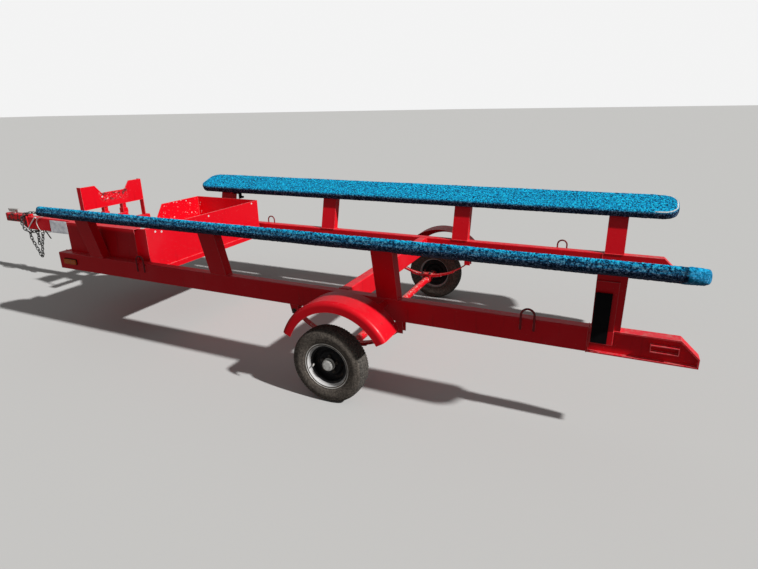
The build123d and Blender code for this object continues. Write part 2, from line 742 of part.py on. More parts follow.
# Stand leg: square tube with a round head on the bolt and a foot plate on the ground
with BuildPart() as leg:
    with BuildSketch(Plane.XZ.offset(stand_size / 2 - stand_y)):
        with Locations((stand_x, stand_pivot)):
            Circle(stand_size / 2)
        with Locations((stand_x, (stand_pivot + stand_foot_t) / 2)):
            Rectangle(stand_size, stand_pivot - stand_foot_t)
        with Locations((stand_x, stand_pivot)):
            Circle(stand_bolt + running_gap, mode=Mode.SUBTRACT)
    extrude(amount=-stand_size)
    with BuildSketch(Plane.XY):
        with Locations((stand_x, stand_y)):
            RectangleRounded(stand_foot, stand_foot, 10)
    extrude(amount=stand_foot_t)
save(leg.part, "stand_leg")
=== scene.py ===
# %% [markdown]
# # A boat trailer, dressed
# The imported model gives every steel part of the trailer at its real size. This script gives
# those parts their paint, and adds what a drawing leaves out: carpet, tyre tread, welds, nuts
# and a few small pieces. It starts by loading the imported parts, which are never moved.

# %% Load the imported trailer
import math

import bpy
import numpy as np
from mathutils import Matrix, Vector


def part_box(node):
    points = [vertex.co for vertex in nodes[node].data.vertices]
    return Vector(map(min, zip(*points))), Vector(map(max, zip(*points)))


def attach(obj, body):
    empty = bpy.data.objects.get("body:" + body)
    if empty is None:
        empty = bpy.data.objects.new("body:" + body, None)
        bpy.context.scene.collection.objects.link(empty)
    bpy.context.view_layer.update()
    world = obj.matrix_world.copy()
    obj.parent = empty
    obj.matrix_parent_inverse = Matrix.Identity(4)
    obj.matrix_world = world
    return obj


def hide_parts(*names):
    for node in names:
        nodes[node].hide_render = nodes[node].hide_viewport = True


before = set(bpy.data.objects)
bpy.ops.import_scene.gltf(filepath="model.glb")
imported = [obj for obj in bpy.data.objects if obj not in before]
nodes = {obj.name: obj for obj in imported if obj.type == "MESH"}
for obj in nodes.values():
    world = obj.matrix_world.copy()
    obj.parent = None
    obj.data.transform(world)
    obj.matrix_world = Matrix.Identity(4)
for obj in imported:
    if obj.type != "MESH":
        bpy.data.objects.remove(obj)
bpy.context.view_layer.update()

# %% [markdown]
# ## Camera
# A photograph fixes where its camera stood: each family of parallel edges points at one
# vanishing point, and a known length sets the distance. A constraint could aim the camera, but
# a surveyor's place, heading, pitch and roll are what the edges give. Shift and depth of field
# stay off, so the same lens works in every other view.

# %% Place the camera
AXLE_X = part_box("axle")[0].x / 2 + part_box("axle")[1].x / 2
CAMERA_FROM_AXLE = np.array([-1.63, 3.828, 1.896])
HEADING, PITCH, ROLL = np.radians([204.81, 18.87, -0.986])
FOCAL_PIXELS, PHOTO_WIDTH, SENSOR, FAR_CLIP = 524.5, 758, 36.0, 200.0


def unit(vectors):
    """Vectors of length one in the same directions."""
    vectors = np.asarray(vectors, float)
    return vectors / np.linalg.norm(vectors, axis=-1, keepdims=True)


def facing(back, place, roll=0.0):
    """A camera's or lamp's matrix, by columns as Blender takes it. back points away from its view."""
    right = unit(np.cross([0.0, 0.0, 1.0], back))
    up = np.cross(back, right)
    matrix = np.eye(4)
    matrix[:3, 0] = math.cos(roll) * right + math.sin(roll) * up
    matrix[:3, 1] = math.cos(roll) * up - math.sin(roll) * right
    matrix[:3, 2] = back
    matrix[:3, 3] = place
    return matrix.T.tolist()


scene = bpy.context.scene
camera = bpy.data.objects.new("camera", bpy.data.cameras.new("camera"))
scene.collection.objects.link(camera)
camera.data.sensor_width = SENSOR
camera.data.lens = SENSOR * FOCAL_PIXELS / PHOTO_WIDTH
camera.data.clip_end = FAR_CLIP
level = math.cos(PITCH)
camera_back = np.array([math.sin(HEADING) * level, -math.cos(HEADING) * level, math.sin(PITCH)])
camera_place = CAMERA_FROM_AXLE + np.array([AXLE_X, 0.0, 0.0])
camera.matrix_world = facing(camera_back, camera_place, ROLL)
scene.camera = camera
print("lens:", round(camera.data.lens, 2), "mm at", camera_place.round(3))

# %% [markdown]
# ## Floor and light
# A pale floor and a pale sky keep the eye on the trailer. The one lamp stands behind the
# trailer, about 40 degrees high, as the sun does in the photograph: it makes the upper and the
# rear faces bright and leaves the sides in shade. The sky fills the shade softly. The camera
# sees a nearly white sky, mirrors see a darker one, and the sky that lights the trailer is
# weaker still. The floor is pale to the camera too, but throws back little light.

# %% Make the floor, the lamp and the sky
FLOOR_SIZE, PALE, FLOOR_BOUNCE = 400.0, (0.58, 0.575, 0.56), (0.13, 0.125, 0.12)
SUN_PLACE, SUN_STRENGTH, SUN_WIDTH = (-7.8, 1.35, 6.5), 4.0, math.radians(2.0)
SKY_LIGHT, SKY_MIRRORED, SKY_SEEN = 0.17, 0.35, 0.9

half = FLOOR_SIZE / 2
floor_mesh = bpy.data.meshes.new("floor")
floor_corners = [(x * half, y * half, 0) for x, y in ((-1, -1), (1, -1), (1, 1), (-1, 1))]
floor_mesh.from_pydata(floor_corners, [], [(0, 1, 2, 3)])
floor = bpy.data.objects.new("floor", floor_mesh)
scene.collection.objects.link(floor)

sun = bpy.data.objects.new("key", bpy.data.lights.new("key", "SUN"))
scene.collection.objects.link(sun)
sun.data.energy = SUN_STRENGTH
sun.data.angle = SUN_WIDTH
sun.matrix_world = facing(unit(SUN_PLACE), SUN_PLACE)

world = bpy.data.worlds.new("sky")
world.use_nodes = True
scene.world = world
sky, links = world.node_tree.nodes, world.node_tree.links
background = sky["Background"].inputs
background["Color"].default_value = (1.0, 1.0, 1.0, 1.0)
rays = sky.new("ShaderNodeLightPath")
strength = None
for ray, level in (("Is Glossy Ray", SKY_MIRRORED), ("Is Camera Ray", SKY_SEEN)):
    raised = sky.new("ShaderNodeMath")
    raised.operation = "MULTIPLY_ADD"
    raised.inputs[1].default_value = level - SKY_LIGHT
    raised.inputs[2].default_value = SKY_LIGHT
    links.new(rays.outputs[ray], raised.inputs[0])
    if strength:
        links.new(strength, raised.inputs[2])
    strength = raised.outputs[0]
links.new(strength, background["Strength"])
scene.view_settings.view_transform = "Standard"
print("floor of", FLOOR_SIZE, "m, one lamp and a sky of", SKY_LIGHT)

# %% [markdown]
# ## Finishes as arithmetic
# A material is a graph of nodes, but it reads better as a formula. `Signal` wraps the output of
# a node, so that `1 - mask * 0.5` builds the Math nodes by itself. `Finish` owns one material:
# its `node` method adds any node, first its settings and then its inputs. Colours go through
# Mix nodes, because a Math node would turn them grey.

# %% Signals and finishes
class Signal:
    """The output of a node. Plus, minus and times add Math nodes."""

    def __init__(self, finish, socket):
        self.finish = finish
        self.socket = socket

    def math(self, operation, first, second=0.0):
        """A Math node on two values or signals."""
        return self.finish.node("ShaderNodeMath", {"operation": operation}, {0: first, 1: second})

    def __add__(self, other):
        return self.math("ADD", self, other)

    def __sub__(self, other):
        return self.math("SUBTRACT", self, other)

    def __mul__(self, other):
        return self.math("MULTIPLY", self, other)

    __radd__ = __add__
    __rmul__ = __mul__

    def __rsub__(self, other):
        return self.math("SUBTRACT", other, self)

    def absolute(self):
        """The signal without its sign."""
        return self.math("ABSOLUTE", self)

    def ramp(self, low, high):
        """0 below low, 1 above high, with a smooth rise between. low may be above high."""
        settings = {"interpolation_type": "SMOOTHSTEP"}
        return self.finish.node("ShaderNodeMapRange", settings, {0: self, 1: low, 2: high})

    def band(self, centre, half_width, soft):
        """1 within half_width of the centre, fading to 0 over soft."""
        return (self - centre).absolute().ramp(half_width + soft, half_width)


class Finish:
    """One material. Its base shader is at self.shader, and shade() sets that shader's sockets."""

    def __init__(self, name):
        self.material = bpy.data.materials.new(name)
        self.material.use_nodes = True
        self.tree = self.material.node_tree
        self.shader = self.tree.nodes["Principled BSDF"]
        self.place = self.node("ShaderNodeTexCoord", {}, {}, "Object")

    def node(self, kind, settings, inputs, output=0):
        """Any node: its settings, the values or signals of its sockets, and the output that is wanted."""
        made = self.tree.nodes.new(kind)
        for key, value in settings.items():
            setattr(made, key, value)
        for key, value in inputs.items():
            self.feed(made.inputs[key], value)
        return Signal(self, made.outputs[output])

    def feed(self, socket, value):
        """Links a signal to a socket, or sets the socket to a value."""
        if isinstance(value, Signal):
            self.tree.links.new(value.socket, socket)
        else:
            socket.default_value = value

    def axis(self, name):
        """The X, Y or Z of the place on the trailer, in metres."""
        return self.node("ShaderNodeSeparateXYZ", {}, {0: self.place}, name)

    def facing_up(self):
        """1 where the surface faces up, 0 where it is upright and -1 where it faces down."""
        normal = self.node("ShaderNodeNewGeometry", {}, {}, "Normal")
        return self.node("ShaderNodeSeparateXYZ", {}, {0: normal}, "Z")

    def noise(self, scale, detail=3.0, rough=0.55, stretch=(1.0, 1.0, 1.0)):
        """Cloudy noise with that many blotches in a metre."""
        moved = self.node("ShaderNodeMapping", {}, {"Vector": self.place, "Scale": stretch})
        inputs = {"Vector": moved, "Scale": scale, "Detail": detail, "Roughness": rough}
        return self.node("ShaderNodeTexNoise", {}, inputs)

    def cells(self, scale, output="Color"):
        """Cells of random colour, or the distance to the middle of each, that many in a metre."""
        return self.node("ShaderNodeTexVoronoi", {}, {"Vector": self.place, "Scale": scale}, output)

    def larger(self, first, second):
        """The larger of two signals, which joins two masks."""
        return self.node("ShaderNodeMath", {"operation": "MAXIMUM"}, {0: first, 1: second})

    def mix(self, factor, first, second):
        """A colour between two: the first where the factor is 0, the second where it is 1."""
        inputs = {0: factor, 6: colour(first), 7: colour(second)}
        return self.node("ShaderNodeMix", {"data_type": "RGBA"}, inputs, 2)

    def bump(self, height, depth, strength=1.0):
        """A normal that leans as the height does, where a height of 1 is depth metres."""
        inputs = {"Height": height, "Distance": depth, "Strength": strength}
        return self.node("ShaderNodeBump", {}, inputs)

    def shade(self, **sockets):
        """Sets the shader's sockets, named with _ for a space, to values or signals."""
        for key, value in sockets.items():
            self.feed(self.shader.inputs[key.replace("_", " ")], colour(value))


def colour(value):
    """Three numbers become a colour with an alpha of 1, and anything else stays as it is."""
    return (*value, 1.0) if isinstance(value, tuple) and len(value) == 3 else value


floor_finish = Finish("floor_pale")
seen = floor_finish.node("ShaderNodeLightPath", {}, {}, "Is Camera Ray")
floor_tone = floor_finish.mix(seen, FLOOR_BOUNCE, PALE)
floor_finish.shade(Base_Color=floor_tone, Roughness=0.85, Specular_IOR_Level=0.2)
floor.data.materials.append(floor_finish.material)
print("nodes in the floor's finish:", len(floor_finish.tree.nodes))

# %% [markdown]
# ## Red enamel
# The frame is brushed with thick gloss red. Real enamel is never one red: it fades towards pink
# where the sun and rain reach it, dust settles on it, rain draws darker streaks, sharp edges
# wear pale and carry a painted highlight, grime films it where ropes and hands rub, and stones
# chip it down to a pale primer.
# A painted picture could hold all that, but it would need an unwrapped surface for each part.
# Here each of these is a mask between 0 and 1, worked out from the place on the trailer, and
# the masks mix one colour into the next. Brush marks and chips are also a height for the bump,
# so that they catch the light.

# %% Write the recipe of the red enamel
RED, FADED_RED, DEEP_RED = (0.74, 0.003, 0.012), (0.78, 0.018, 0.038), (0.42, 0.002, 0.006)
WORN_AND_LIT_EDGE, GRIME = (0.8, 0.24, 0.25), (0.06, 0.03, 0.028)
PRIMER, BARE_STEEL = (0.7, 0.62, 0.6), (0.3, 0.27, 0.25)
DUST, RUST = (0.42, 0.36, 0.3), (0.16, 0.045, 0.015)
EDGE_WIDTH = 0.005
NICKED, SURELY_GONE = 6.0, 4.0


def sharp_edges(paint):
    """1 on sharp edges, where a normal rounded over EDGE_WIDTH turns away from the flat one."""
    rounded = paint.node("ShaderNodeBevel", {"samples": 4}, {"Radius": EDGE_WIDTH})
    flat = paint.node("ShaderNodeNewGeometry", {}, {}, "Normal")
    same = paint.node("ShaderNodeVectorMath", {"operation": "DOT_PRODUCT"}, {0: rounded, 1: flat}, "Value")
    return same.ramp(0.995, 0.9)


def lost_paint(paint, area, chips, chip_size, dots):
    """1 where the paint is gone: specks all over, and flakes, nicks and round dents in the area."""
    lost = paint.noise(210.0, 2.0, 0.6).ramp(0.735, 0.76)
    if chips > 0.0:
        ragged = paint.noise(chip_size, 4.0, 0.7) + paint.noise(chip_size * 4.3, 2.0, 0.6) * 0.22
        lost = paint.larger(lost, ragged.ramp(0.93 - chips, 0.935 - chips) * area)
    if isinstance(area, Signal):
        lost = paint.larger(lost, (area - SURELY_GONE).ramp(0.0, 1.0))
    if dots > 0.0:
        dents = paint.cells(22.0, "Distance").ramp(dots + 0.01, dots)
        lost = paint.larger(lost, dents * area)
    return lost


def red_enamel(name, chips=0.0, chip_size=60.0, chipped=None, dust=0.25, fade=0.5, dots=0.0,
               edges=0.8, grime=0.0):
    """Red paint, mixed from masks.

    chips is how much of it has flaked off in the area that chipped gives, chip_size the scale of
    the flakes, and dots the size of the round dents there. dust and fade lie on what faces up,
    edges says how far sharp edges are worn pale and lit with a painted highlight, and grime how
    far a dark film spreads.
    """
    paint = Finish(name)
    up = paint.facing_up()
    broad = paint.noise(1.7, 4.0)
    fine = paint.noise(34.0, 5.0, 0.65)
    streaks = paint.noise(7.0, 3.0, 0.5, (6.0, 6.0, 0.6))
    brushed = paint.noise(90.0, 2.0, 0.5, (0.35, 0.35, 1.0))
    area = chipped(paint) if chipped else 1.0
    sunned = up.ramp(0.3, 0.95) * fade + broad.ramp(0.45, 0.7) * 0.25
    settled = (up.ramp(0.5, 1.0) * fine.ramp(0.42, 0.72) + broad.ramp(0.55, 0.8) * 0.2) * dust
    red = paint.mix(sunned, RED, FADED_RED)
    red = paint.mix(streaks.ramp(0.58, 0.75) * 0.3, red, DEEP_RED)
    red = paint.mix(settled, red, DUST)
    if grime > 0.0:
        film = paint.noise(26.0, 4.0, 0.7).ramp(0.62 - 0.3 * grime, 0.7 - 0.3 * grime)
        red = paint.mix(film * area, red, GRIME)
    # Pale edges: wear, and a painted highlight where the edges catch the light.
    red = paint.mix(sharp_edges(paint) * fine.ramp(0.3, 0.5) * edges, red, WORN_AND_LIT_EDGE)
    lost = lost_paint(paint, area, chips, chip_size, dots)
    core = paint.noise(chip_size * 1.3, 3.0, 0.7).ramp(0.56, 0.6)
    red = paint.mix(lost, red, paint.mix(core, PRIMER, BARE_STEEL))
    rough = 0.3 + fine * 0.16 + settled * 0.45 + lost * 0.3
    height = brushed * 0.25 + broad * 0.3 - lost * 0.8
    paint.shade(Base_Color=red, Roughness=rough, Specular_IOR_Level=0.22,
                Coat_Weight=0.04, Coat_Roughness=0.12, Normal=paint.bump(height, 0.0007, 0.6))
    return paint.material


enamel = red_enamel("red_enamel")
print("nodes in the plain enamel:", len(enamel.node_tree.nodes))

# %% [markdown]
# ## Where the enamel has suffered
# The recipe is one, but the wear is not. Gear thrown into the bin has struck its front wall
# from inside, boats have rubbed the bow stop round its notch, the sun bleaches the tails, and
# stones and mud reach the axle and the springs, whose heavy dust also stands for painted shade.
# Two parts give the recipe an area of their own, and the rest only change its amounts.

# %% Mix the kinds of red
BIN_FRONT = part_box("bin")[1].x
BIN_REAR_WALL = 1.923
NICKS = ((0.656, 0.912), (0.589, 0.898), (-0.656, 0.93), (0.001, 0.921))


def near_notch(paint):
    """The worn part of the bow stop: its notch and the metal just under it."""
    across = paint.axis("Y").band(0.0, 0.15, 0.03)
    return across * (paint.axis("Z") + paint.noise(30.0, 3.0) * 0.05).ramp(1.02, 1.06)


def bin_walls(paint):
    """The bin's front wall, which loose gear has struck, and the nicks near its rear wall's top."""
    wall = paint.axis("X").ramp(BIN_FRONT - 0.12, BIN_FRONT - 0.04) + 0.02
    for y, z in NICKS:
        ends = {0: paint.place, 1: (AXLE_X + BIN_REAR_WALL, y, z)}
        apart = paint.node("ShaderNodeVectorMath", {"operation": "DISTANCE"}, ends, "Value")
        wall = paint.larger(wall, apart.ramp(0.014, 0.008) * NICKED)
    return wall


enamel_bin = red_enamel(
    "red_enamel_bin", chips=0.15, chip_size=52.0, chipped=bin_walls, dust=0.15, fade=0.3, dots=0.15,
    edges=1.0)
enamel_stop = red_enamel(
    "red_enamel_stop", chips=0.2, chip_size=80.0, chipped=near_notch, dust=0.1, fade=0.3, dots=0.18,
    edges=1.0, grime=0.35)
enamel_fender = red_enamel("red_enamel_fender", dust=0.04, fade=0.15)
enamel_tail = red_enamel("red_enamel_tail", chips=0.06, chip_size=70.0, dust=0.45, fade=0.9)
enamel_coupler = red_enamel("red_enamel_coupler", dust=0.3, fade=1.0, edges=1.0, grime=0.5)
# Axle and springs: real dust and chips, and the heavy dust also dulls their red as painted shade.
enamel_low_dust_and_shade = red_enamel("red_enamel_low_dust_and_shade", chips=0.2, chip_size=30.0, dust=0.9, fade=0.2)
print("nodes in the bin's enamel:", len(enamel_bin.node_tree.nodes))

# %% [markdown]
# ## Metals, rubbers and lenses
# Zinc plate is dull and blotchy, steel nuts rust, rubber goes grey and brownish with road dust,
# and the wheels are black with a silver barrel, the black partly painted shade inside the dish.
# The metals differ only in their numbers, so they share one recipe. Tyres and wheels change with
# the distance from the axle.

# %% Make the metals
def plain_metal(name, base, dirt, rough, metallic, rusting):
    """Metal or dull paint with blotches of dirt, and rust where the noise is high."""
    coat = Finish(name)
    blotch = coat.noise(22.0, 4.0, 0.6)
    fine = coat.noise(160.0, 3.0, 0.6)
    tone = coat.mix(blotch.ramp(0.38, 0.68) * 0.7, base, dirt)
    tone = coat.mix(blotch.ramp(0.58, 0.66) * fine.ramp(0.35, 0.6) * rusting, tone, RUST)
    coat.shade(Base_Color=tone, Metallic=metallic, Roughness=rough + fine * 0.2,
                 Normal=coat.bump(fine + blotch, 0.0006, 0.5))
    return coat.material


# The columns: clean colour, dirty colour, roughness, share of metal, share of rust.
METALS = {
    "zinc_plate": ((0.72, 0.71, 0.68), (0.4, 0.38, 0.35), 0.36, 0.45, 0.25),
    # The chain's dark steel is partly painted shade.
    "chain_steel": ((0.13, 0.13, 0.13), (0.035, 0.033, 0.03), 0.36, 0.45, 0.4),
    # The hook's near-white is bright zinc plus a painted highlight.
    "hook_zinc": ((0.95, 0.95, 0.95), (0.75, 0.74, 0.72), 0.3, 0.25, 0.0),
    # The tie rings wear the frame's red. Their darker red is painted shade.
    "ring_shaded_red": ((0.26, 0.004, 0.01), (0.1, 0.01, 0.012), 0.45, 0.0, 0.2),
    "axle_black": ((0.03, 0.026, 0.025), (0.06, 0.045, 0.035), 0.55, 0.1, 0.8),
    "nut_steel": ((0.07, 0.066, 0.062), (0.12, 0.085, 0.06), 0.48, 0.6, 0.8),
    "rim_edge": ((0.8, 0.78, 0.74), (0.55, 0.5, 0.45), 0.36, 0.3, 0.2),
    "plate_white": ((0.96, 0.97, 1.00), (0.6, 0.62, 0.7), 0.35, 0.0, 0.0),
}
metals = {name: plain_metal(name, *row) for name, row in METALS.items()}
print("metals:", ", ".join(metals))

# %% Make the wheels' finishes
WHEEL_Y, WHEEL_Z = 1.098, 0.265


def wheel_radius(coat):
    """The distance from the axle's line: the root of x squared plus z squared, both from that line."""
    x, z = coat.axis("X") - AXLE_X, coat.axis("Z") - WHEEL_Z
    squares = x * x + z * z
    return squares.math("SQRT", squares)


def tyre_finish(name):
    """Tyre rubber: the sidewall has gone a dusty brownish grey, the tread and its grooves are darker."""
    coat = Finish(name)
    off_centre = (coat.axis("Y").absolute() - WHEEL_Y).absolute()
    radius = wheel_radius(coat)
    grain = coat.noise(75.0, 5.0, 0.85)
    patches = coat.noise(24.0, 4.0, 0.65)
    wall = off_centre.ramp(0.05, 0.056) * radius.ramp(0.254, 0.246)
    tone = coat.mix(wall, (0.095, 0.086, 0.076), (0.155, 0.13, 0.108))
    tone = coat.mix(patches.ramp(0.4, 0.7) * 0.55, tone, (0.07, 0.06, 0.052))
    tone = coat.mix(grain.ramp(0.52, 0.42) * 0.7, tone, (0.03, 0.026, 0.023))
    tone = coat.mix(grain.ramp(0.52, 0.66) * 0.6, tone, (0.26, 0.225, 0.19))
    tone = coat.mix(radius.ramp(0.1585, 0.1535), tone, (0.012, 0.011, 0.011))
    coat.shade(Base_Color=tone, Roughness=0.85, Specular_IOR_Level=0.25,
                 Normal=coat.bump(grain, 0.0006, 0.7))
    return coat.material


def rim_finish(name):
    """Wheel paint: a near-black disc, partly painted shade inside the dish, a bare silver barrel, a dirty
    flange, and the hub's cap of zinc plate.
    """
    coat = Finish(name)
    radius = wheel_radius(coat)
    blotch = coat.noise(30.0, 4.0, 0.65)
    fine = coat.noise(150.0, 3.0, 0.6)
    # The silver barrel stops where the dish falls into shade. The near-black inside it is partly painted
    # shade.
    barrel = (radius + blotch * 0.003).ramp(0.136, 0.141)
    flange = (radius + blotch * 0.002).ramp(0.1505, 0.1525)
    cap = coat.axis("Y").absolute().ramp(1.113, 1.117) * radius.ramp(0.045, 0.042)
    cap_zinc = coat.mix(blotch.ramp(0.45, 0.65), (0.8, 0.79, 0.76), (0.45, 0.43, 0.4))
    tone = coat.mix(barrel, (0.006, 0.006, 0.007), (0.55, 0.54, 0.53))
    tone = coat.mix(flange, tone, (0.1, 0.085, 0.07))
    tone = coat.mix(blotch.ramp(0.56, 0.68) * (flange * 0.5 + 0.2), tone, (0.2, 0.12, 0.07))
    tone = coat.mix(cap, tone, cap_zinc)
    coat.shade(Base_Color=tone, Roughness=0.48 + fine * 0.25, Specular_IOR_Level=0.3,
                 Normal=coat.bump(fine + blotch, 0.0006, 0.5))
    return coat.material


tyre_rubber = tyre_finish("tyre_rubber")
rim_paint = rim_finish("rim_paint")
print("wheel finishes:", tyre_rubber.name, "and", rim_paint.name)

# %% Make the pads' rubber and the lenses
def black_rubber(name):
    """Black rubber with a fine grain, and dust that lies on it in soft patches."""
    coat = Finish(name)
    black, dusty = (0.003, 0.003, 0.004), (0.01, 0.01, 0.01)
    patches = coat.noise(16.0, 4.0, 0.65)
    grains = coat.noise(180.0, 3.0, 0.6)
    tone = coat.mix(patches.ramp(0.35, 0.7) * 0.4, black, dusty)
    tone = coat.mix(grains.ramp(0.5, 0.75) * 0.25, tone, dusty)
    coat.shade(Base_Color=tone, Roughness=0.72 + grains * 0.2, Specular_IOR_Level=0.12,
                 Normal=coat.bump(grains, 0.0005, 0.7))
    return coat.material


def amber_lens(name):
    """Amber plastic with fine upright ribs and a film of dust."""
    coat = Finish(name)
    dusty = coat.noise(40.0, 3.0).ramp(0.4, 0.7) * 0.35
    inputs = {"Vector": coat.place, "Scale": 62.0}
    ribs = coat.node("ShaderNodeTexWave", {"bands_direction": "X"}, inputs, "Fac")
    tone = coat.mix(dusty, (0.8, 0.16, 0.012), (0.36, 0.13, 0.05))
    coat.shade(Base_Color=tone, Roughness=0.22 + dusty * 0.5, Normal=coat.bump(ribs, 0.0012, 0.5))
    return coat.material


pad_rubber = black_rubber("pad_rubber")
lens = amber_lens("amber_lens")
print("small finishes:", pad_rubber.name, "and", lens.name)

# %% [markdown]
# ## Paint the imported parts
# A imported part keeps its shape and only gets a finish, by assigning to its material slots. The
# table names the parts that aren't plain red, and everything else is red.

# %% Assign the finishes
FINISH_OF = {
    "bin": enamel_bin, "bow_stop": enamel_stop, "coupler": enamel_coupler,
    "axle": enamel_low_dust_and_shade, "spring_clamps": enamel_low_dust_and_shade, "tie_rings": metals["ring_shaded_red"],
    "coupler_latch": metals["zinc_plate"], "safety_chains": metals["chain_steel"],
    "marker_lamps": lens, "rear_pads": pad_rubber,
}
PAIRS = {
    "tail": enamel_tail, "spring": enamel_low_dust_and_shade, "fender": enamel_fender,
    "tyre": tyre_rubber, "rim": rim_paint, "hub": rim_paint,
}
for name, finish in PAIRS.items():
    FINISH_OF[f"{name}_left"] = FINISH_OF[f"{name}_right"] = finish
for name, part in nodes.items():
    part.data.materials.clear()
    part.data.materials.append(FINISH_OF.get(name, enamel))
print("finishes on the packed parts:", len({*FINISH_OF.values(), enamel}))

# %% [markdown]
# ## Surfaces from grids
# Every added piece is one or more grids of points worked out with numpy. A grid has rows and
# columns. Its columns join round, and on a closed path its rows do too. A lathe turns a profile
# round an axis, a tube carries a circle along a path, and copies of a small grid are placed by
# matrices. Blender's own primitives could make some of these, but a formula shows where each
# point is.

# %% Turn grids into pieces
def quads(rows, columns, closed):
    """The faces of a grid as four corner numbers each. Columns join round, rows only if it is closed."""
    i, j = np.meshgrid(np.arange(rows if closed else rows - 1), np.arange(columns), indexing="ij")
    down, right = (i + 1) % rows, (j + 1) % columns
    corners = [i * columns + j, down * columns + j, down * columns + right, i * columns + right]
    return np.stack(corners, -1).reshape(-1, 4)


def surface(name, grids, finish, body, replaced=(), sharp=40.0, marks=None, closed=False):
    """One object from grids of points, riding on a body. Edges steeper than sharp degrees stay sharp."""
    points = np.concatenate([grid.reshape(-1, 3) for grid in grids])
    starts = np.cumsum([0] + [grid.shape[0] * grid.shape[1] for grid in grids])
    faces = np.concatenate([quads(*grid.shape[:2], closed) + start for grid, start in zip(grids, starts)])
    mesh = bpy.data.meshes.new(name)
    mesh.vertices.add(len(points))
    mesh.vertices.foreach_set("co", points.astype(np.float32).ravel())
    mesh.loops.add(faces.size)
    mesh.loops.foreach_set("vertex_index", faces.astype(np.int32).ravel())
    mesh.polygons.add(len(faces))
    mesh.polygons.foreach_set("loop_start", np.arange(0, faces.size, 4, dtype=np.int32))
    mesh.update(calc_edges=True)
    mesh.validate()
    mesh.polygons.foreach_set("use_smooth", np.ones(len(mesh.polygons), dtype=bool))
    mesh.set_sharp_from_angle(angle=math.radians(sharp))
    for mark, values in (marks or {}).items():
        attribute = mesh.attributes.new(mark, "FLOAT", "POINT")
        attribute.data.foreach_set("value", values.astype(np.float32).ravel())
    mesh.materials.append(finish)
    piece = bpy.data.objects.new(name, mesh)
    scene.collection.objects.link(piece)
    if replaced:
        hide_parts(*replaced)
    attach(piece, body)
    print(name, "has", 2 * len(faces), "triangles")


print("helpers: quads and surface")

# %% Make lathes, tubes and paths
def lathe(profile, sides):
    """Points at distance r from the z axis and height h, for each pair (r, h) of the profile."""
    profile = np.asarray(profile, float)
    turn = np.arange(sides) * 2 * np.pi / sides
    r, h = profile[:, :1], profile[:, 1:]
    return np.stack([r * np.cos(turn), r * np.sin(turn), h + 0 * turn], -1)


def placed(points, origin, z_axis, x_hint=(1.0, 0.0, 0.0)):
    """Points of a small grid, moved to an origin and turned so that its z runs along z_axis."""
    z = unit(z_axis)
    y = unit(np.cross(z, x_hint))
    return points @ np.array([np.cross(y, z), y, z]) + np.asarray(origin, float)


def tube(path, radius, sides=10, hint=(0.0, 1.0, 0.0), closed=False, flat=1.0):
    """A circle of that radius carried along the path, upright to it. flat squashes it along the hint."""
    path = np.asarray(path, float)
    ahead = np.roll(path, -1, 0) - np.roll(path, 1, 0) if closed else np.gradient(path, axis=0)
    along = unit(ahead)
    across = unit(np.cross(along, hint))
    other = np.cross(across, along)
    turn = (np.arange(sides) * 2 * np.pi / sides)[None, :, None]
    radius = np.broadcast_to(np.asarray(radius, float).reshape(-1, 1, 1), (len(path), 1, 1))
    ring = across[:, None] * np.cos(turn) + other[:, None] * np.sin(turn) * flat
    return path[:, None] + radius * ring


def along_path(corners, step):
    """Points a step apart on the straight lines between the corners."""
    corners = np.asarray(corners, float)
    lengths = np.concatenate([[0.0], np.cumsum(np.linalg.norm(np.diff(corners, axis=0), axis=1))])
    count = max(3, int(lengths[-1] / step))
    where = np.linspace(0.0, lengths[-1], count)
    return np.stack([np.interp(where, lengths, corners[:, axis]) for axis in range(3)], -1)


def place(from_axle):
    """A station counted from the axle becomes an x of the shared frame."""
    return AXLE_X + from_axle


print("helpers: lathe, placed, tube, along_path and place")

# %% Make soft steps and humps
def held(values):
    """Values held between 0 and 1."""
    return np.clip(values, 0.0, 1.0)


def bell(values, centre, width):
    """1 at the centre, and around it the exponential of minus the squared distance in widths."""
    return np.exp(-(((values - centre) / width) ** 2))


def falling(values, edge, soft):
    """A smooth step from 1 to 0 at the edge: 1 over 1 plus the exponential of the distance past it."""
    return 1 / (1 + np.exp(np.clip((values - edge) / soft, -40.0, 40.0)))


print("a bell at 0, 1 and 2 widths:", bell(np.arange(3.0), 0.0, 1.0).round(3))
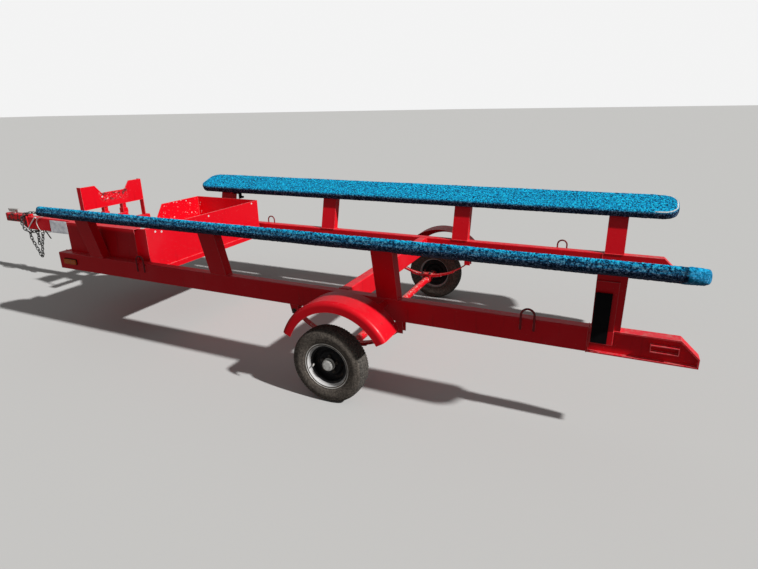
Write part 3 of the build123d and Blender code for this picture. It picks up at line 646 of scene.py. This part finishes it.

# %% [markdown]
# ## Carpet
# The bunks wear marine carpet: a felt of thousands of small blue loops, nearly black to pale,
# which read as speckle from a step away. Hair particles could make each loop, but they are slow
# and can't be exported. Cells of two sizes and a noise give the same speckle as colour and
# bump. The top is painted lighter and the sides darker, as painted light and shade. Two
# attributes of the mesh, end and rim, tell the finish where the carpet is newer, where a painted
# shadow lies just past the sock's edge, and where its backing shows through.

# %% Make the carpet finish
def carpet_finish(name):
    """Marine carpet: loops and tufts from cells of two sizes, in clumps, nearly black to pale blue, painted
    lighter on top and darker on the sides as painted light and shade.
    """
    coat = Finish(name)
    end = coat.node("ShaderNodeAttribute", {"attribute_name": "end"}, {}, "Fac")
    rim = coat.node("ShaderNodeAttribute", {"attribute_name": "rim"}, {}, "Fac")
    loops = coat.node("ShaderNodeSeparateColor", {}, {0: coat.cells(230.0)}, 0)
    tufts = coat.node("ShaderNodeSeparateColor", {}, {0: coat.cells(125.0)}, 1)
    clumps = coat.noise(62.0, 5.0, 0.85)
    fade = coat.noise(1.3, 3.0)
    # Painted light and shade: faces that look up get vivid pale blue, the sides a much darker blue.
    top = coat.facing_up().ramp(0.05, 0.98)
    light = loops * 0.15 + tufts * 0.48 + clumps.ramp(0.38, 0.62) * 0.62 - 0.16
    deep, seam = (0.002, 0.014, 0.038), (0.002, 0.012, 0.035)
    sock_blue, backing = (0.01, 0.42, 0.8), (0.78, 0.77, 0.74)
    middle = coat.mix(top, (0.006, 0.028, 0.082), (0.002, 0.4, 0.84))
    pale = coat.mix(top, (0.17, 0.27, 0.42), (0.02, 0.78, 1.00))
    tone = coat.mix(light.ramp(0.22, 0.48), deep, middle)
    tone = coat.mix(light.ramp(0.52, 0.8) * 0.9, tone, pale)
    tone = coat.mix(fade.ramp(0.5, 0.75) * 0.15, tone, middle)
    tone = coat.mix(end.ramp(0.0, 1.0) * (0.25 + tufts * 0.4), tone, sock_blue)
    # The seam colour is a painted shadow just past the sock's edge.
    tone = coat.mix(end.ramp(0.0, -0.6) * 0.8, tone, seam)
    tone = coat.mix((rim * (0.55 + loops * 0.6)).ramp(0.25, 0.6), tone, backing)
    pile = coat.bump(loops * 0.7 + tufts * 0.9, 0.005, 0.9)
    coat.shade(Base_Color=tone, Roughness=0.95, Sheen_Weight=0.02, Sheen_Roughness=0.5,
                 Specular_IOR_Level=0.08, Normal=pile)
    return coat.material


carpet = carpet_finish("marine_carpet")
print("nodes in the carpet:", len(carpet.node_tree.nodes))

# %% [markdown]
# ## Bunks
# Each bunk is a plank with the carpet stapled round it. Its section is a long rounded
# rectangle, whose half width follows the round ends of the plank. On top of that form lie small
# heights: the pile, a slow waviness where the glue has let go, the flap that overlaps
# underneath, the belly where the carpet hangs off the plank, and the sock of newer carpet over
# the left bunk's rear end. A cloth simulation could wrap it too, but heights can be put where
# the photograph shows them.

# %% Walk round the bunk's section
BUNK_Y, BUNK_Z, BUNK_TILT = 0.976, 1.078, math.radians(20)
BUNK_HALF_W, BUNK_HALF_T, EDGE_R, CORNER_R = 0.15, 0.031, 0.022, 0.118
BUNK_REAR, BUNK_FRONT, END_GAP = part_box("bunk_left")[0].x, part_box("bunk_left")[1].x, 0.0015
BUNK_LENGTH = BUNK_FRONT - BUNK_REAR - 2 * END_GAP
ROWS, END_ROWS, AROUND = 620, 33, 92
BROAD_SHARE, NARROW_SHARE = 0.78, 0.2


def section_signs(count):
    """Numbers (side, up, cos, sin) that walk round a rounded rectangle, most of them on its flats."""
    walk = np.linspace(0.0, 4.0, count, endpoint=False)
    leg, t = np.floor(walk).astype(int), walk % 1.0
    flat_share = np.where(leg % 2 == 0, BROAD_SHARE, NARROW_SHARE)
    slide = held(t / flat_share) * 2 - 1
    bend = held((t - flat_share) / (1 - flat_share))
    angle = np.pi / 2 - leg * np.pi / 2 - bend * np.pi / 2
    side = np.choose(leg, [slide, np.ones(count), -slide, -np.ones(count)])
    up = np.choose(leg, [np.ones(count), -slide, -np.ones(count), slide])
    return side, up, np.cos(angle), np.sin(angle)


print("a bunk is", round(BUNK_LENGTH, 3), "m long, with", ROWS, "rows of", AROUND, "points")

# %% Lay the carpet round the bunks
FELT, PILE, WAVE, FLAP = 0.0015, 0.0007, 0.0009, 0.003
SAG_BELOW, SAG_SIDE = 0.006, 0.005
SOCK_LENGTH, SOCK_THICK = 0.108, 0.0028
RIM_INSET, RIM_HALF, RIM_LENGTH, LEFT_RIM = 0.0125, 0.0055, 0.2, 0.25


def carpet_heights(x, across, side, cos, sin, sign, seed):
    """How far the carpet stands off the plank, as a sum of heights, and how new it is at each point, less a
    dip that marks a painted shadow just past the sock's edge.
    """
    pile = np.random.default_rng(seed).normal(0.0, PILE, across.shape)
    wave = WAVE * np.sin(x * 9.0 + 3.0 * side) * np.sin(x * 3.1 + seed)
    flap_edge = -0.035 + 0.006 * np.sin(x * 7.3 + seed) + 0.003 * np.sin(x * 23.0)
    below = held(-sin)
    flap = FLAP * below * falling(-across, -flap_edge, 0.0012)
    forward = held((x - BUNK_REAR) / BUNK_LENGTH * 2 - 0.7)
    sag = SAG_BELOW * below * forward + SAG_SIDE * np.abs(cos)
    sock_end = x[0] + SOCK_LENGTH + 0.006 * np.sin(9.0 * side)
    sock = falling(x, sock_end, 0.0025) * (sign > 0)
    # A dip just past the sock's edge marks a painted shadow there.
    sock_and_edge_shadow = sock - 0.7 * (sign > 0) * bell(x, sock_end + 0.01, 0.008)
    return FELT + pile + wave + flap + sag + SOCK_THICK * sock, sock_and_edge_shadow


def bunk_grid(sign, seed):
    """Rows along the plank, columns round its section. Returns points and the two attributes."""
    end = CORNER_R * (1.0 - np.cos(np.linspace(0.0, np.pi / 2, END_ROWS)))
    middle = np.linspace(CORNER_R, BUNK_LENGTH - CORNER_R, ROWS - 2 * END_ROWS + 2)[1:-1]
    x = BUNK_REAR + END_GAP + np.concatenate([end, middle, BUNK_LENGTH - end[::-1]])[:, None]
    from_end = np.minimum(x - x[0], x[-1] - x)
    corner = np.clip(CORNER_R - from_end, 0.0, CORNER_R)
    half_w = BUNK_HALF_W - CORNER_R + np.sqrt(CORNER_R**2 - corner**2)
    edge = np.clip(EDGE_R - from_end, 0.0, EDGE_R)
    half_t = BUNK_HALF_T - EDGE_R + np.sqrt(EDGE_R**2 - edge**2)
    radius = np.minimum(EDGE_R, half_t)
    side, up, cos, sin = section_signs(AROUND)
    across = side * (half_w - radius) + radius * cos
    high = up * (half_t - radius) + radius * sin

    inset = CORNER_R - np.hypot(corner, np.clip(np.abs(across) - BUNK_HALF_W + CORNER_R, 0.0, None))
    rim = bell(inset, RIM_INSET, RIM_HALF) * (sin > 0.1) * held((x[0] + RIM_LENGTH - x) / 0.05)
    rim = rim * (1.0 if sign < 0 else LEFT_RIM)
    proud, sock_and_edge_shadow = carpet_heights(x, across, side, cos, sin, sign, seed)
    proud = proud * (held(from_end / 0.02) * 0.6 + 0.4)
    closing = np.ones((ROWS, 1))
    closing[[0, -1]] = 0.02
    across = (across + cos * proud) * closing
    high = (high + sin * proud) * closing
    y = sign * (BUNK_Y + across * math.cos(BUNK_TILT) - high * math.sin(BUNK_TILT))
    z = BUNK_Z + across * math.sin(BUNK_TILT) + high * math.cos(BUNK_TILT)
    return np.stack([x + 0 * y, y, z], -1), sock_and_edge_shadow, rim


for name, sign, seed in (("left", 1, 3), ("right", -1, 8)):
    points, sock_and_edge_shadow, rim = bunk_grid(sign, seed)
    surface(f"carpet_bunk_{name}", [points], carpet, "frame",
            (f"bunk_{name}",), 180.0, {"end": sock_and_edge_shadow, "rim": rim})

# %% [markdown]
# ## Tyres
# A tyre is a profile turned round the axle. The profile walks from one bead over the sidewall
# and the tread to the other bead. Then the radius drops where a groove runs: three grooves
# zigzag round the tread, half a groove runs along each edge of it, and short cuts cross the
# shoulders. Low rings and fine ribs stand on the sidewall, which carries no lettering. A copy
# of one tread block could be repeated round the wheel, but here one formula does it all.

# %% Turn the tyres
# Each pair is the distance from the wheel's middle plane and the radius there.
TYRE_PROFILE = [
    (0.051, 0.1545), (0.0545, 0.164), (0.0575, 0.169), (0.061, 0.176), (0.0645, 0.186),
    (0.0668, 0.196), (0.068, 0.206), (0.068, 0.216), (0.0665, 0.227), (0.0635, 0.238),
    (0.0595, 0.248), (0.055, 0.2555), (0.0495, 0.26), (0.043, 0.2618), (0.03, 0.2634),
    (0.015, 0.2643), (0.0, 0.2646),
]
TYRE_ROWS, TYRE_COLUMNS = 171, 504
ZIGZAGS, CUTS, RIBS = 56, 84, 168
GROOVE_PITCH, GROOVE_HALF, GROOVE_DEPTH, ZIGZAG = 0.023, 0.0034, 0.0052, 0.0022
TREAD_HALF, SHOULDER_FROM, CUT_DEPTH, WALL_FROM = 0.046, 0.0395, 0.0042, 0.049


def wall_relief(r, turn):
    """What stands on the sidewall: two rings, ribs near the shoulder, and a plain band between."""
    rings = bell(r, 0.181, 0.0022) * 0.0014 + bell(r, 0.2405, 0.0016) * 0.0012
    ribs = held(np.sin(turn * RIBS)) * bell(r, 0.246, 0.004) * 0.0006
    band = held((0.0135 - np.abs(r - 0.211)) / 0.001) * 0.0004
    return rings + ribs + band


def tyre_grid(sign):
    """Columns round the wheel, rows over the section, pushed in by the grooves."""
    half_profile = np.array(TYRE_PROFILE)
    coarse = np.concatenate([half_profile, half_profile[-2::-1] * [-1, 1]])
    length = np.concatenate([[0.0], np.cumsum(np.linalg.norm(np.diff(coarse, axis=0), axis=1))])
    fine = np.linspace(0.0, length[-1], TYRE_ROWS)
    y = np.interp(fine, length, coarse[:, 0])[:, None]
    r = np.interp(fine, length, coarse[:, 1])[:, None]
    turn = np.linspace(0.0, 2 * np.pi, TYRE_COLUMNS, endpoint=False)[None, :]
    zigzag = ZIGZAG * (2 / np.pi) * np.arcsin(np.sin(turn * ZIGZAGS))
    offset = (y + zigzag + GROOVE_PITCH / 2) % GROOVE_PITCH - GROOVE_PITCH / 2
    groove = held((GROOVE_HALF - np.abs(offset)) / 0.0008) * held((TREAD_HALF - np.abs(y)) / 0.002)
    cut = held((np.sin(turn * CUTS) - 0.72) / 0.12) * held((np.abs(y) - SHOULDER_FROM) / 0.002)
    cut = cut * held((r - 0.25) / 0.004)
    proud = np.where(np.abs(y) > WALL_FROM, wall_relief(r, turn), 0.0)
    r = r - GROOVE_DEPTH * groove - CUT_DEPTH * cut
    y = y + np.sign(y) * proud
    x = AXLE_X + r * np.cos(turn)
    z = WHEEL_Z + r * np.sin(turn)
    return np.stack([x, sign * (WHEEL_Y + y) + 0 * turn, z], -1)


for name, sign in (("left", 1), ("right", -1)):
    surface(f"ribbed_tyre_{name}", [tyre_grid(sign)], tyre_rubber, f"wheel_{name}",
            (f"tyre_{name}",), 50.0)

# %% [markdown]
# ## Wheel fittings
# The pressed rim keeps its packed form. Around it come the rolled edge of its flange, five
# wheel nuts on a circle of 114 mm, the dust cap driven onto the hub, and the valve. Each has an
# axis of its own, so each is a lathe of its profile, and the hexagon of a nut is a lathe with
# six columns. They ride on the wheels, so they turn with them.

# %% Add the rim edges, nuts, caps and valves
# Each pair is a radius and the height along the piece's own axis.
NUT = [(0.0001, 0.0175), (0.0062, 0.0175), (0.0085, 0.016), (0.0108, 0.014), (0.0112, 0.003), (0.0112, 0.0)]
STUD = [(0.0001, 0.0245), (0.0052, 0.0245), (0.006, 0.0235), (0.006, 0.015)]
CAP = [
    (0.0001, 0.0494), (0.008, 0.0494), (0.01, 0.0499), (0.024, 0.0499), (0.031, 0.0494),
    (0.0362, 0.0474), (0.0388, 0.044), (0.0396, 0.039), (0.0396, 0.024), (0.0402, 0.0225),
    (0.0436, 0.0218), (0.044, 0.0196), (0.0396, 0.018),
]
STEM = [
    (0.0001, 0.04), (0.003, 0.04), (0.004, 0.039), (0.0042, 0.03), (0.0034, 0.029),
    (0.0034, 0.024), (0.0052, 0.022), (0.006, 0.012), (0.0078, 0.004), (0.0078, 0.0),
]
FLANGE_R, FLANGE_OUT, LIP_HIGH, LIP_WIDE = 0.161, 0.056, 0.003, 0.0024
NUT_COUNT, NUT_CIRCLE_R, NUT_SEAT, FIRST_NUT = 5, 0.0572, 0.0042, 0.35


def wheel_grids(sign):
    """Grids in four groups, for the wheel on one side: rim edge, nuts, cap and valve."""
    centre = np.array([AXLE_X, sign * WHEEL_Y, WHEEL_Z])
    out = np.array([0.0, sign, 0.0])
    turn = np.linspace(0, 2 * np.pi, 13)
    edge = np.stack([FLANGE_R + LIP_HIGH * np.cos(turn), FLANGE_OUT + LIP_WIDE * np.sin(turn)], -1)
    nuts = []
    for angle in np.arange(NUT_COUNT) * 2 * np.pi / NUT_COUNT + FIRST_NUT:
        seat = [NUT_CIRCLE_R * math.cos(angle), sign * NUT_SEAT, NUT_CIRCLE_R * math.sin(angle)]
        nuts.append(placed(lathe(NUT, 6), centre + seat, out))
        nuts.append(placed(lathe(STUD, 14), centre + seat, out))
    root, lean = centre + [0.1215, sign * 0.016, -0.022], unit([-0.35, sign * 0.93, 0.06])
    valve = placed(lathe(STEM, 16), root, lean, (0.0, 0.0, 1.0))
    rim, cap = placed(lathe(edge, 160), centre, out), placed(lathe(CAP, 72), centre, out)
    return [rim], nuts, [cap], [valve]


for name, sign in (("left", 1), ("right", -1)):
    edges, nuts, caps, valves = wheel_grids(sign)
    surface(f"rim_edge_{name}", edges, metals["rim_edge"], f"wheel_{name}")
    surface(f"wheel_nuts_{name}", nuts, metals["nut_steel"], f"wheel_{name}", (), 25.0)
    surface(f"hub_cap_{name}", caps, metals["zinc_plate"], f"wheel_{name}")
    surface(f"valve_{name}", valves, metals["rim_edge"], f"wheel_{name}")

# %% [markdown]
# ## Welds
# Every joint of the frame is welded, and the beads show under the paint as small scales. A bead
# is a tube along the joint whose radius swells with every ripple of the weld pool: radius times
# 1 plus about a fifth of the absolute sine of the distance. A bump map would cost less, but a
# real bead also hides the sharp corner of the joint. All are one object.

# %% Roll a weld bead
BEAD_STEP, RIPPLE = 0.0032, 0.0065


def bead(corners, radius=0.0042):
    """A weld bead along straight lines between the corners, with a ripple every 6.5 mm."""
    path = along_path(corners, BEAD_STEP)
    walked = np.arange(len(path)) * BEAD_STEP
    swell = radius * (1.0 + 0.22 * np.abs(np.sin(np.pi * walked / RIPPLE)))
    swell[[0, -1]] = radius * 0.3
    return tube(path, swell, 6, (0.31, 0.52, 0.79))


def straight(radius, *corners):
    """Adds a bead through corners, each a station from the axle, a y and a z."""
    beads.append(bead([(place(x), y, z) for x, y, z in corners], radius))


def rectangle(origin, first, second):
    """Corners of a rectangle from its lowest corner and two sides, closed."""
    origin, first, second = np.array(origin), np.array(first), np.array(second)
    return [origin, origin + first, origin + first + second, origin + second, origin]


print("a bead ripples every", RIPPLE * 1000, "mm")

# %% Run the weld beads
RAIL_Y, RAIL_LOW, TUBE_W, TUBE_H = 0.838, 0.542, 0.075, 0.15
POSTS = {"front": 2.415, "fore": 1.085, "aft": -0.322, "rear": -1.648}
CROSSMEMBERS, TAIL_SEAM, CROSS_FACE, GUSSET_END = (2.835, 0.0), -1.56, 2.911, 3.328
GUSSET_LEVELS, GUSSET_Y, TONGUE_HALF, COUPLER_REAR = (0.602, 0.66), 0.318, 0.0375, 4.639
RINGS = {1: (1.895, -1.225), -1: (1.845, -1.225)}
RING_LEG, RING_WIRE = 0.039, 0.0065
STRAP, STRAP_WIDTH = POSTS["rear"] + TUBE_W, 0.116
STOP_X, STOP_LEG_Y, STOP_LEG_HALF = 3.192, 0.112, 0.028
THIN, MEDIUM, BROAD = 0.003, 0.0034, 0.0048

beads = []
for sign in (1, -1):
    inner = sign * (RAIL_Y - TUBE_W / 2)
    for name, at in POSTS.items():
        foot = (place(at - TUBE_W), inner, 0.6905 if name == "rear" else 0.6925)
        beads.append(bead(rectangle(foot, (TUBE_H, 0, 0), (0, sign * TUBE_W, 0))))
    for at in CROSSMEMBERS:
        beads.append(bead(rectangle((place(at), inner, RAIL_LOW), (TUBE_W, 0, 0), (0, 0, TUBE_H))))
    seam = rectangle((place(TAIL_SEAM), inner, RAIL_LOW), (0, sign * TUBE_W, 0), (0, 0, 0.148))
    beads.append(bead(seam, THIN))
    for at in RINGS[sign]:
        for leg in (-RING_LEG, RING_LEG):
            for edge in (-RING_WIRE, RING_WIRE):
                x, y = at + leg + edge, sign * 0.8765
                straight(THIN, (x, y, 0.622), (x, y, 0.676))
    for z in GUSSET_LEVELS:
        straight(MEDIUM, (CROSS_FACE, sign * 0.04, z), (CROSS_FACE, sign * GUSSET_Y, z))
        straight(MEDIUM, (2.912, sign * 0.0385, z), (GUSSET_END, sign * 0.0385, z))
    for x in (STRAP, STRAP - STRAP_WIDTH):
        straight(MEDIUM, (x, sign * 0.88, 0.607), (x, sign * 0.88, 0.69))
    leg = (place(STOP_X - STOP_LEG_HALF), sign * STOP_LEG_Y - STOP_LEG_HALF, 0.786)
    beads.append(bead(rectangle(leg, (2 * STOP_LEG_HALF, 0, 0), (0, 2 * STOP_LEG_HALF, 0)), MEDIUM))
    for x in (3.162, 3.222):
        straight(0.0036, (x, sign * 0.002, 0.736), (x, sign * TONGUE_HALF, 0.736))
straight(
    BROAD, (CROSS_FACE, TONGUE_HALF, 0.69), (CROSS_FACE, TONGUE_HALF, 0.585),
    (CROSS_FACE, -TONGUE_HALF, 0.585), (CROSS_FACE, -TONGUE_HALF, 0.69))
straight(0.0044, (CROSS_FACE, -TONGUE_HALF, 0.693), (CROSS_FACE, TONGUE_HALF, 0.693))
straight(
    BROAD, (COUPLER_REAR, 0.039, 0.6), (COUPLER_REAR, 0.039, 0.737),
    (COUPLER_REAR, -0.039, 0.737), (COUPLER_REAR, -0.039, 0.6))
for y in (-0.872, -0.804):
    straight(MEDIUM, (2.575, y, 0.543), (2.625, y, 0.543))
surface("weld_beads", beads, enamel, "frame", (), 60.0)

# %% [markdown]
# ## Nuts and bolts
# A hexagon is a lathe with six columns, and a washer one with twenty. Copies of one mesh would
# do as well, but joined they are one piece.

# %% Place the nuts and bolts
WASHER_THICK = 0.0022


def hexagon(across):
    """A bolt head or nut of that width across its flats, with a chamfered top."""
    r = across / math.sqrt(3)
    return lathe([(0.0001, 0.62 * across), (0.8 * r, 0.62 * across), (r, 0.52 * across), (r, 0.0)], 6)


def washer(across):
    """A round washer, a little wider than the hexagon on it, with a broken upper edge."""
    r = 1.08 * across
    return lathe([(0.3 * across, WASHER_THICK), (r - 0.0004, WASHER_THICK), (r, 0.0016), (r, 0.0)], 20)


def shank_end(across):
    """The end of the bolt's shank that stands out of a nut, with a small chamfer."""
    top, thick = 1.05 * across, 0.32 * across
    return lathe([(0.0001, top), (0.27 * across, top), (thick, 0.98 * across), (thick, 0.5 * across)], 14)


# The columns: place, direction, width across the flats, and whether the shank's end shows.
bolts = []
for sign in (1, -1):
    for edge in (1, -1):
        spring_eye = (place(0.419), sign * RAIL_Y + edge * 0.0295, 0.493)
        bolts.append((spring_eye, (0, edge, 0), 0.019, edge * sign < 0))
        for x in (0.0355, -0.0355):
            clamp_foot = (place(x), sign * RAIL_Y + edge * 0.0285, 0.3293)
            bolts.append((clamp_foot, (0, 0, 1), 0.015, True))
    bolts.append(((place(STOP_X), sign * 0.1405, 0.868), (0, sign, 0), 0.017, False))
for edge in (1, -1):
    bolts.append(((place(2.6), -RAIL_Y + edge * 0.034, 0.46), (0, edge, 0), 0.024, edge < 0))
    bolts.append(((place(4.948), edge * 0.0451, 0.712), (0, edge, 0), 0.013, edge < 0))
hardware = []
for spot, direction, across, with_end in bolts:
    lifted = np.asarray(spot) + np.asarray(direction, float) * WASHER_THICK
    hardware.append(placed(washer(across), spot, direction))
    hardware.append(placed(hexagon(across), lifted, direction))
    if with_end:
        hardware.append(placed(shank_end(across), lifted, direction))
surface("nuts_and_bolts", hardware, metals["nut_steel"], "frame", (), 25.0)

# %% [markdown]
# ## Safety chain
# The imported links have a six-sided wire, which is right for the sizes but looks cut. They could
# be replaced by new links, but three modifiers are enough: Weld joins the loose triangles,
# Subdivision rounds the wire, and Displace gives back the girth that rounding takes. The shape
# and the place of each link stay as packed.

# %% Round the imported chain
chain = nodes["safety_chains"]
weld = chain.modifiers.new("weld", "WELD")
weld.merge_threshold = 0.00005
rounder = chain.modifiers.new("round", "SUBSURF")
rounder.levels = 2
rounder.render_levels = 2
swell = chain.modifiers.new("swell", "DISPLACE")
swell.mid_level = 0.0
swell.strength = 0.0008
print("the chain has", len(chain.modifiers), "modifiers")

# %% [markdown]
# ## Loop of wire and hook
# A loop of wire is bent round the tongue, and a forged hook lies against the tongue's side,
# with the dark end of a second one below. Each is a tube along a few points read from the
# photograph. The loop's points are joined by Fourier interpolation, which gives one smooth
# closed curve through all of them. The hook's path is averaged, which rounds its corners.

# %% Add the loop of wire and the hooks
def smooth_loop(points, count):
    """Points on a smooth closed curve through the given ones, by Fourier interpolation."""
    points = np.asarray(points, float)
    wave = np.fft.rfft(points, axis=0)
    full = np.zeros((count // 2 + 1, 3), dtype=complex)
    full[: len(wave)] = wave
    return np.fft.irfft(full, n=count, axis=0) * count / len(points)


def averaged(path, width):
    """The path with each point moved to the mean of the points around it, width of them in all."""
    padded = np.pad(path, ((width // 2, width // 2), (0, 0)), "edge")
    return np.stack([np.convolve(padded[:, axis], np.ones(width) / width, "valid") for axis in range(3)], -1)


def from_axle(points):
    """Points whose first number is a station from the axle, in the shared frame."""
    return [(place(x), y, z) for x, y, z in points]


WRAP = [
    (4.405, 0.03, 0.568), (4.425, 0.054, 0.6), (4.45, 0.056, 0.66), (4.43, 0.056, 0.715),
    (4.36, 0.046, 0.75), (4.31, 0.01, 0.754), (4.29, -0.036, 0.748), (4.285, -0.056, 0.7),
    (4.3, -0.056, 0.63), (4.33, -0.046, 0.574), (4.365, -0.01, 0.562),
]
HOOK = [
    (4.452, 0.047, 0.722), (4.462, 0.0475, 0.738), (4.478, 0.048, 0.738), (4.495, 0.0485, 0.722),
    (4.56, 0.05, 0.664), (4.612, 0.05, 0.617), (4.636, 0.05, 0.592), (4.642, 0.049, 0.572),
    (4.63, 0.048, 0.56), (4.61, 0.0475, 0.562), (4.6, 0.047, 0.575),
]
HOOK_TAIL = [
    (4.392, 0.012, 0.578), (4.372, 0.016, 0.568), (4.34, 0.022, 0.54), (4.304, 0.026, 0.505),
    (4.296, 0.026, 0.498),
]
WIRE_R, TAIL_R, HOOK_STEP = 0.0042, 0.0062, 0.004
wire = tube(smooth_loop(from_axle(WRAP), 120), WIRE_R, 10, (1.0, 0.0, 0.0), True)
surface("wire_loop", [wire], metals["zinc_plate"], "frame", (), 60.0, closed=True)
hook_path = averaged(along_path(from_axle(HOOK), HOOK_STEP), 9)
last = len(hook_path) - 1
taper = np.interp(np.arange(last + 1), [0, 6, last - 13, last], [0.0052, 0.0072, 0.0066, 0.003])
hook = tube(hook_path, taper, 12, (0.0, 1.0, 0.0), False, 0.8)
surface("chain_hooks", [hook], metals["hook_zinc"], "frame")
tail = tube(along_path(from_axle(HOOK_TAIL), HOOK_STEP), TAIL_R, 12)
surface("hook_tail", [tail], metals["axle_black"], "frame")

# %% [markdown]
# ## Plate, bezels, clip and lips
# The last pieces are small: the blank plate on the tongue's left side, whose lower front corner
# is bent out, the black bezels of the lamps, the black clip on the right front post, and the
# rolled lower edge of the fenders. Plate and clip are flat blocks with round corners, made from
# one outline that shrinks to the middle on both faces. Bezels and lips are tubes.

# %% Add the plate and shape the clip
OUTLINE_START = 0.01


def rounded_outline(straight_x, straight_y, radius, count):
    """A rectangle with round corners: its half sides by the signs of cosine and sine, plus a circle."""
    turn = np.linspace(0.0, 2 * np.pi, count, endpoint=False) + OUTLINE_START
    x = straight_x * np.sign(np.cos(turn)) + radius * np.cos(turn)
    y = straight_y * np.sign(np.sin(turn)) + radius * np.sin(turn)
    return x, y


def rounded_block(length, height, radius, thick):
    """A flat block with round corners as rings that close on its middle, front face up."""
    x, y = rounded_outline(length / 2 - radius, height / 2 - radius, radius, 48)
    corner = np.stack([x, y, 0 * x], -1)
    rings = [(0.001, thick), (0.5, thick), (0.97, thick), (1.0, thick * 0.7), (1.0, 0.0), (0.001, 0.0)]
    return np.stack([corner * [scale, scale, 0.0] + [0.0, 0.0, level] for scale, level in rings])


plate = placed(rounded_block(0.28, 0.142, 0.01, 0.0016), (place(4.098), 0.0379, 0.65), (0, 1, 0))
low, forward = held((0.612 - plate[..., 2]) / 0.03), held((plate[..., 0] - place(4.1)) / 0.1)
plate[..., 1] += 0.006 * (low * forward) ** 2
surface("blank_plate", [plate], metals["plate_white"], "frame", (), 30.0)

# The columns: station, height of the middle, and half the size along x, y and z.
CLIP_Y = -0.9
CLIP_BLOCKS = (
    (2.258, 0.968, (0.006, 0.022, 0.042)),
    (2.29, 0.985, (0.045, 0.018, 0.006)),
    (2.238, 0.945, (0.022, 0.014, 0.01)),
)
clip = []
for x, z, half_size in CLIP_BLOCKS:
    length, depth, height = (2 * size for size in half_size)
    block = rounded_block(length, depth, min(half_size[:2]) * 0.4, height)
    clip.append(placed(block, (place(x), CLIP_Y, z - half_size[2]), (0, 0, 1)))

# %% Add the bezels, the clip and the fender lips
LAMP_X, LAMP_Y, LAMP_Z, BEZEL_R = 2.765, 0.8785, 0.619, 0.0036
LIP_FROM_AXLE, LIP_Y, LIP_Z, LIP_ARC_R, LIP_R = -0.08, 1.1868, 0.32, 0.3525, 0.003
LIP_START, LIP_END, LIP_POINTS = 22, 150, 150

bezels = []
lips = []
sweep = np.radians(np.linspace(LIP_START, LIP_END, LIP_POINTS))
for sign in (1, -1):
    x, z = rounded_outline(0.067, 0.0135, 0.0105, 64)
    bezel_path = np.stack([place(LAMP_X) + x, np.full(len(x), sign * LAMP_Y), LAMP_Z + z], -1)
    bezels.append(tube(bezel_path, BEZEL_R, 8, (0, 1, 0), True))
    arc_x, arc_z = place(LIP_FROM_AXLE) + LIP_ARC_R * np.cos(sweep), LIP_Z + LIP_ARC_R * np.sin(sweep)
    lip_path = np.stack([arc_x, np.full(LIP_POINTS, sign * LIP_Y), arc_z], -1)
    lips.append(tube(lip_path, LIP_R, 8, (0, 1, 0)))
surface("lamp_bezels", bezels, pad_rubber, "frame", closed=True)
surface("post_clip", clip, pad_rubber, "frame", (), 30.0)
surface("fender_lips", lips, enamel_fender, "frame", (), 60.0)
